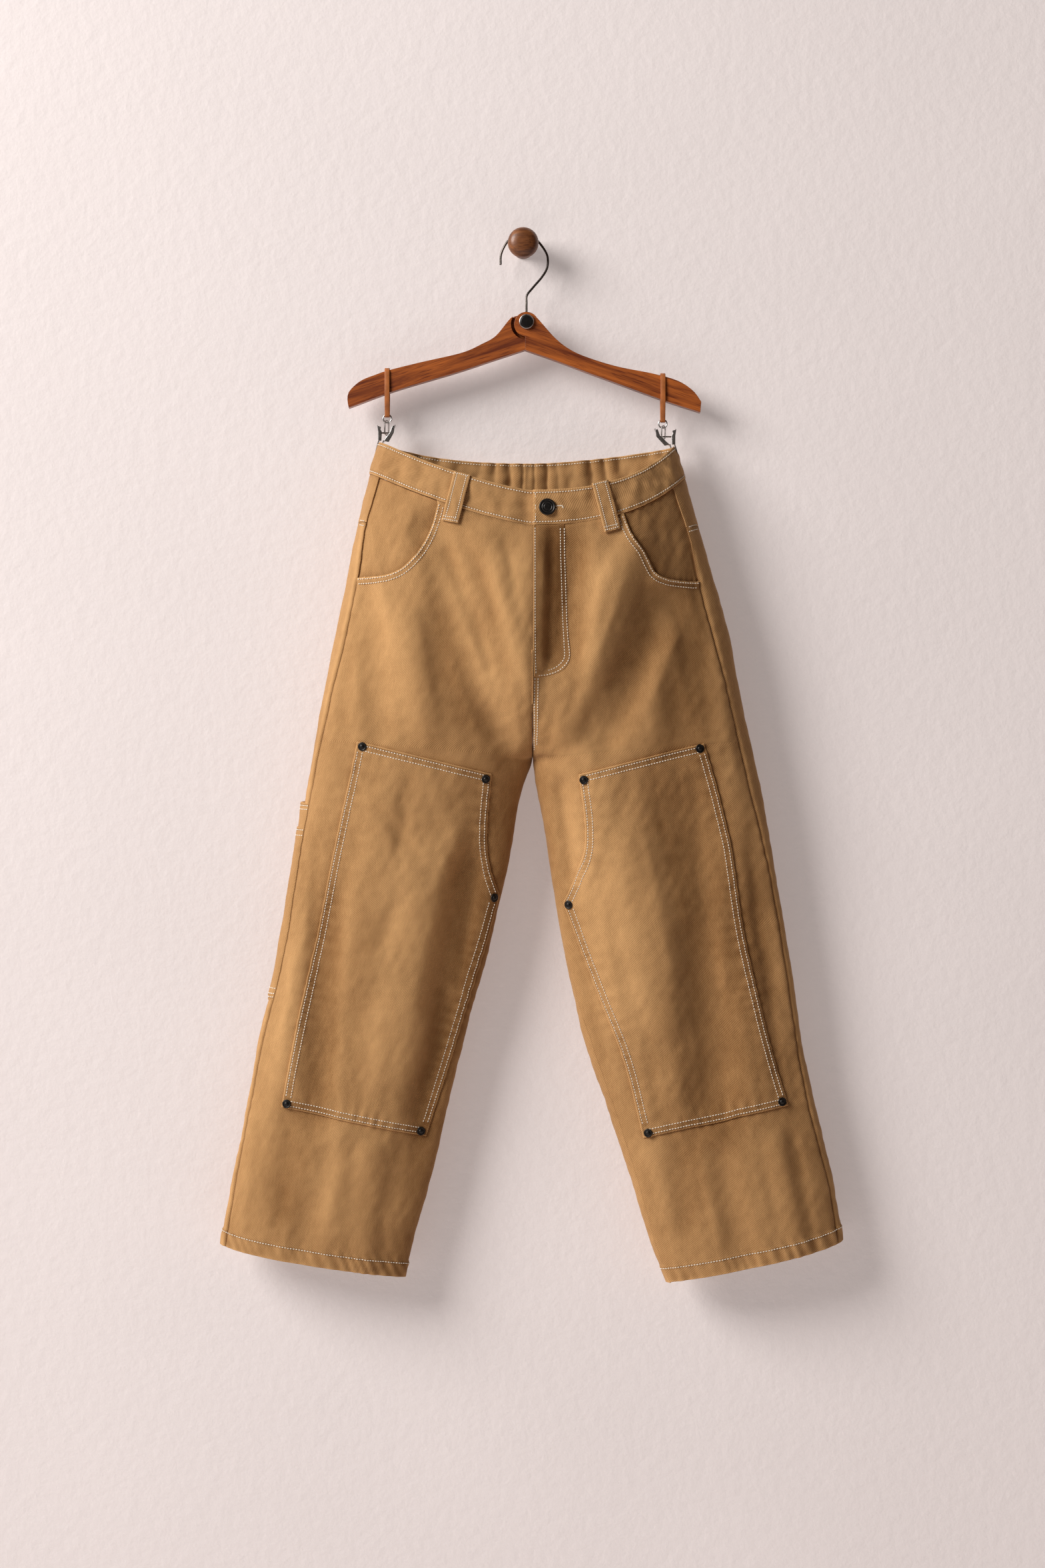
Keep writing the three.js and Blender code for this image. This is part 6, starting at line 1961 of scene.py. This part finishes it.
class PANTS_OT_stage(bpy.types.Operator):
    """Wall, floor, lights and camera"""

    bl_idname = "pants.stage"
    bl_label = "Stage"

    def execute(self, context):
        stage = context.scene.pants_stage
        upright = Matrix.Translation((0, 0.0006, -0.55)) @ Matrix.Rotation(math.pi / 2, 4, "X")
        wall = self.plane("stage_wall", 3.4, 3.2, upright)
        wall.data.materials.append(plaster_material(stage.wall, True))
        floor = self.plane("stage_floor", 6.0, 6.0, Matrix.Translation((0, -1.2, -2.15)))
        floor.data.materials.append(plaster_material(stage.wall, False))
        self.light("key_light", (-3.2, -2.3, 1.5), (0.0, 0, -0.6), 2.4, stage.key)
        self.light("back_light", (1.6, 2.6, 0.9), (0.0, 0, -0.6), 2.0, stage.key * 0.35)
        world = bpy.data.worlds.new("surround")
        world.use_nodes = True
        surround = world.node_tree.nodes["Background"]
        surround.inputs["Color"].default_value = (1.0, 0.72, 0.55, 1)
        surround.inputs["Strength"].default_value = stage.world
        context.scene.world = world
        context.scene.view_settings.view_transform = "Standard"
        camera = bpy.data.cameras.new("camera")
        camera.sensor_width = 36
        camera.lens = stage.lens
        view = bpy.data.objects.new("camera", camera)
        view.location = (-0.0007, -0.06 - stage.distance, -0.5725)
        view.rotation_euler = (math.pi / 2, 0, 0)
        context.scene.collection.objects.link(view)
        context.scene.camera = view
        return {"FINISHED"}

    def plane(self, name, width, height, matrix):
        bm = bmesh.new()
        bmesh.ops.create_grid(bm, x_segments=1, y_segments=1, size=0.5)
        bmesh.ops.scale(bm, vec=(width, height, 1), verts=bm.verts)
        bmesh.ops.transform(bm, matrix=matrix, verts=bm.verts)
        mesh = bpy.data.meshes.new(name)
        bm.to_mesh(mesh)
        bm.free()
        obj = bpy.data.objects.new(name, mesh)
        bpy.context.scene.collection.objects.link(obj)
        return obj

    def light(self, name, place, target, size, power):
        lamp = bpy.data.lights.new(name, "AREA")
        lamp.shape = "DISK"
        lamp.size = size
        lamp.energy = power
        lamp.color = (1.0, 0.985, 0.975)
        obj = bpy.data.objects.new(name, lamp)
        obj.location = place
        obj.rotation_euler = (Vector(target) - Vector(place)).to_track_quat("-Z", "Y").to_euler()
        bpy.context.scene.collection.objects.link(obj)


STEPS = (
    PANTS_OT_panels, PANTS_OT_waist, PANTS_OT_patches, PANTS_OT_pockets, PANTS_OT_loops, PANTS_OT_stitches,
    PANTS_OT_metal, PANTS_OT_hanger, PANTS_OT_fittings, PANTS_OT_stage,
)
SETTINGS = {"pants_cloth": PantsCloth, "pants_trim": PantsTrim, "pants_stage": PantsStage}


class PANTS_PT_panel(bpy.types.Panel):
    """Steps and settings of the pants"""

    bl_label = "Carpenter pants"
    bl_idname = "PANTS_PT_panel"
    bl_space_type = "VIEW_3D"
    bl_region_type = "UI"
    bl_category = "Pants"

    def draw(self, context):
        layout = self.layout
        for step in STEPS:
            layout.operator(step.bl_idname)
        for name, group in SETTINGS.items():
            box = layout.box()
            for key in group.__annotations__:
                box.prop(getattr(context.scene, name), key)


def register():
    for cls in (*SETTINGS.values(), *STEPS, PANTS_PT_panel):
        bpy.utils.register_class(cls)
    for name, group in SETTINGS.items():
        setattr(bpy.types.Scene, name, bpy.props.PointerProperty(type=group))


def unregister():
    for name in SETTINGS:
        delattr(bpy.types.Scene, name)
    for cls in (PANTS_PT_panel, *reversed(STEPS), *reversed(tuple(SETTINGS.values()))):
        bpy.utils.unregister_class(cls)


def main():
    register()
    for step in STEPS:
        area, name = step.bl_idname.split(".")
        getattr(getattr(bpy.ops, area), name)()


if __name__ == "__main__":
    main()
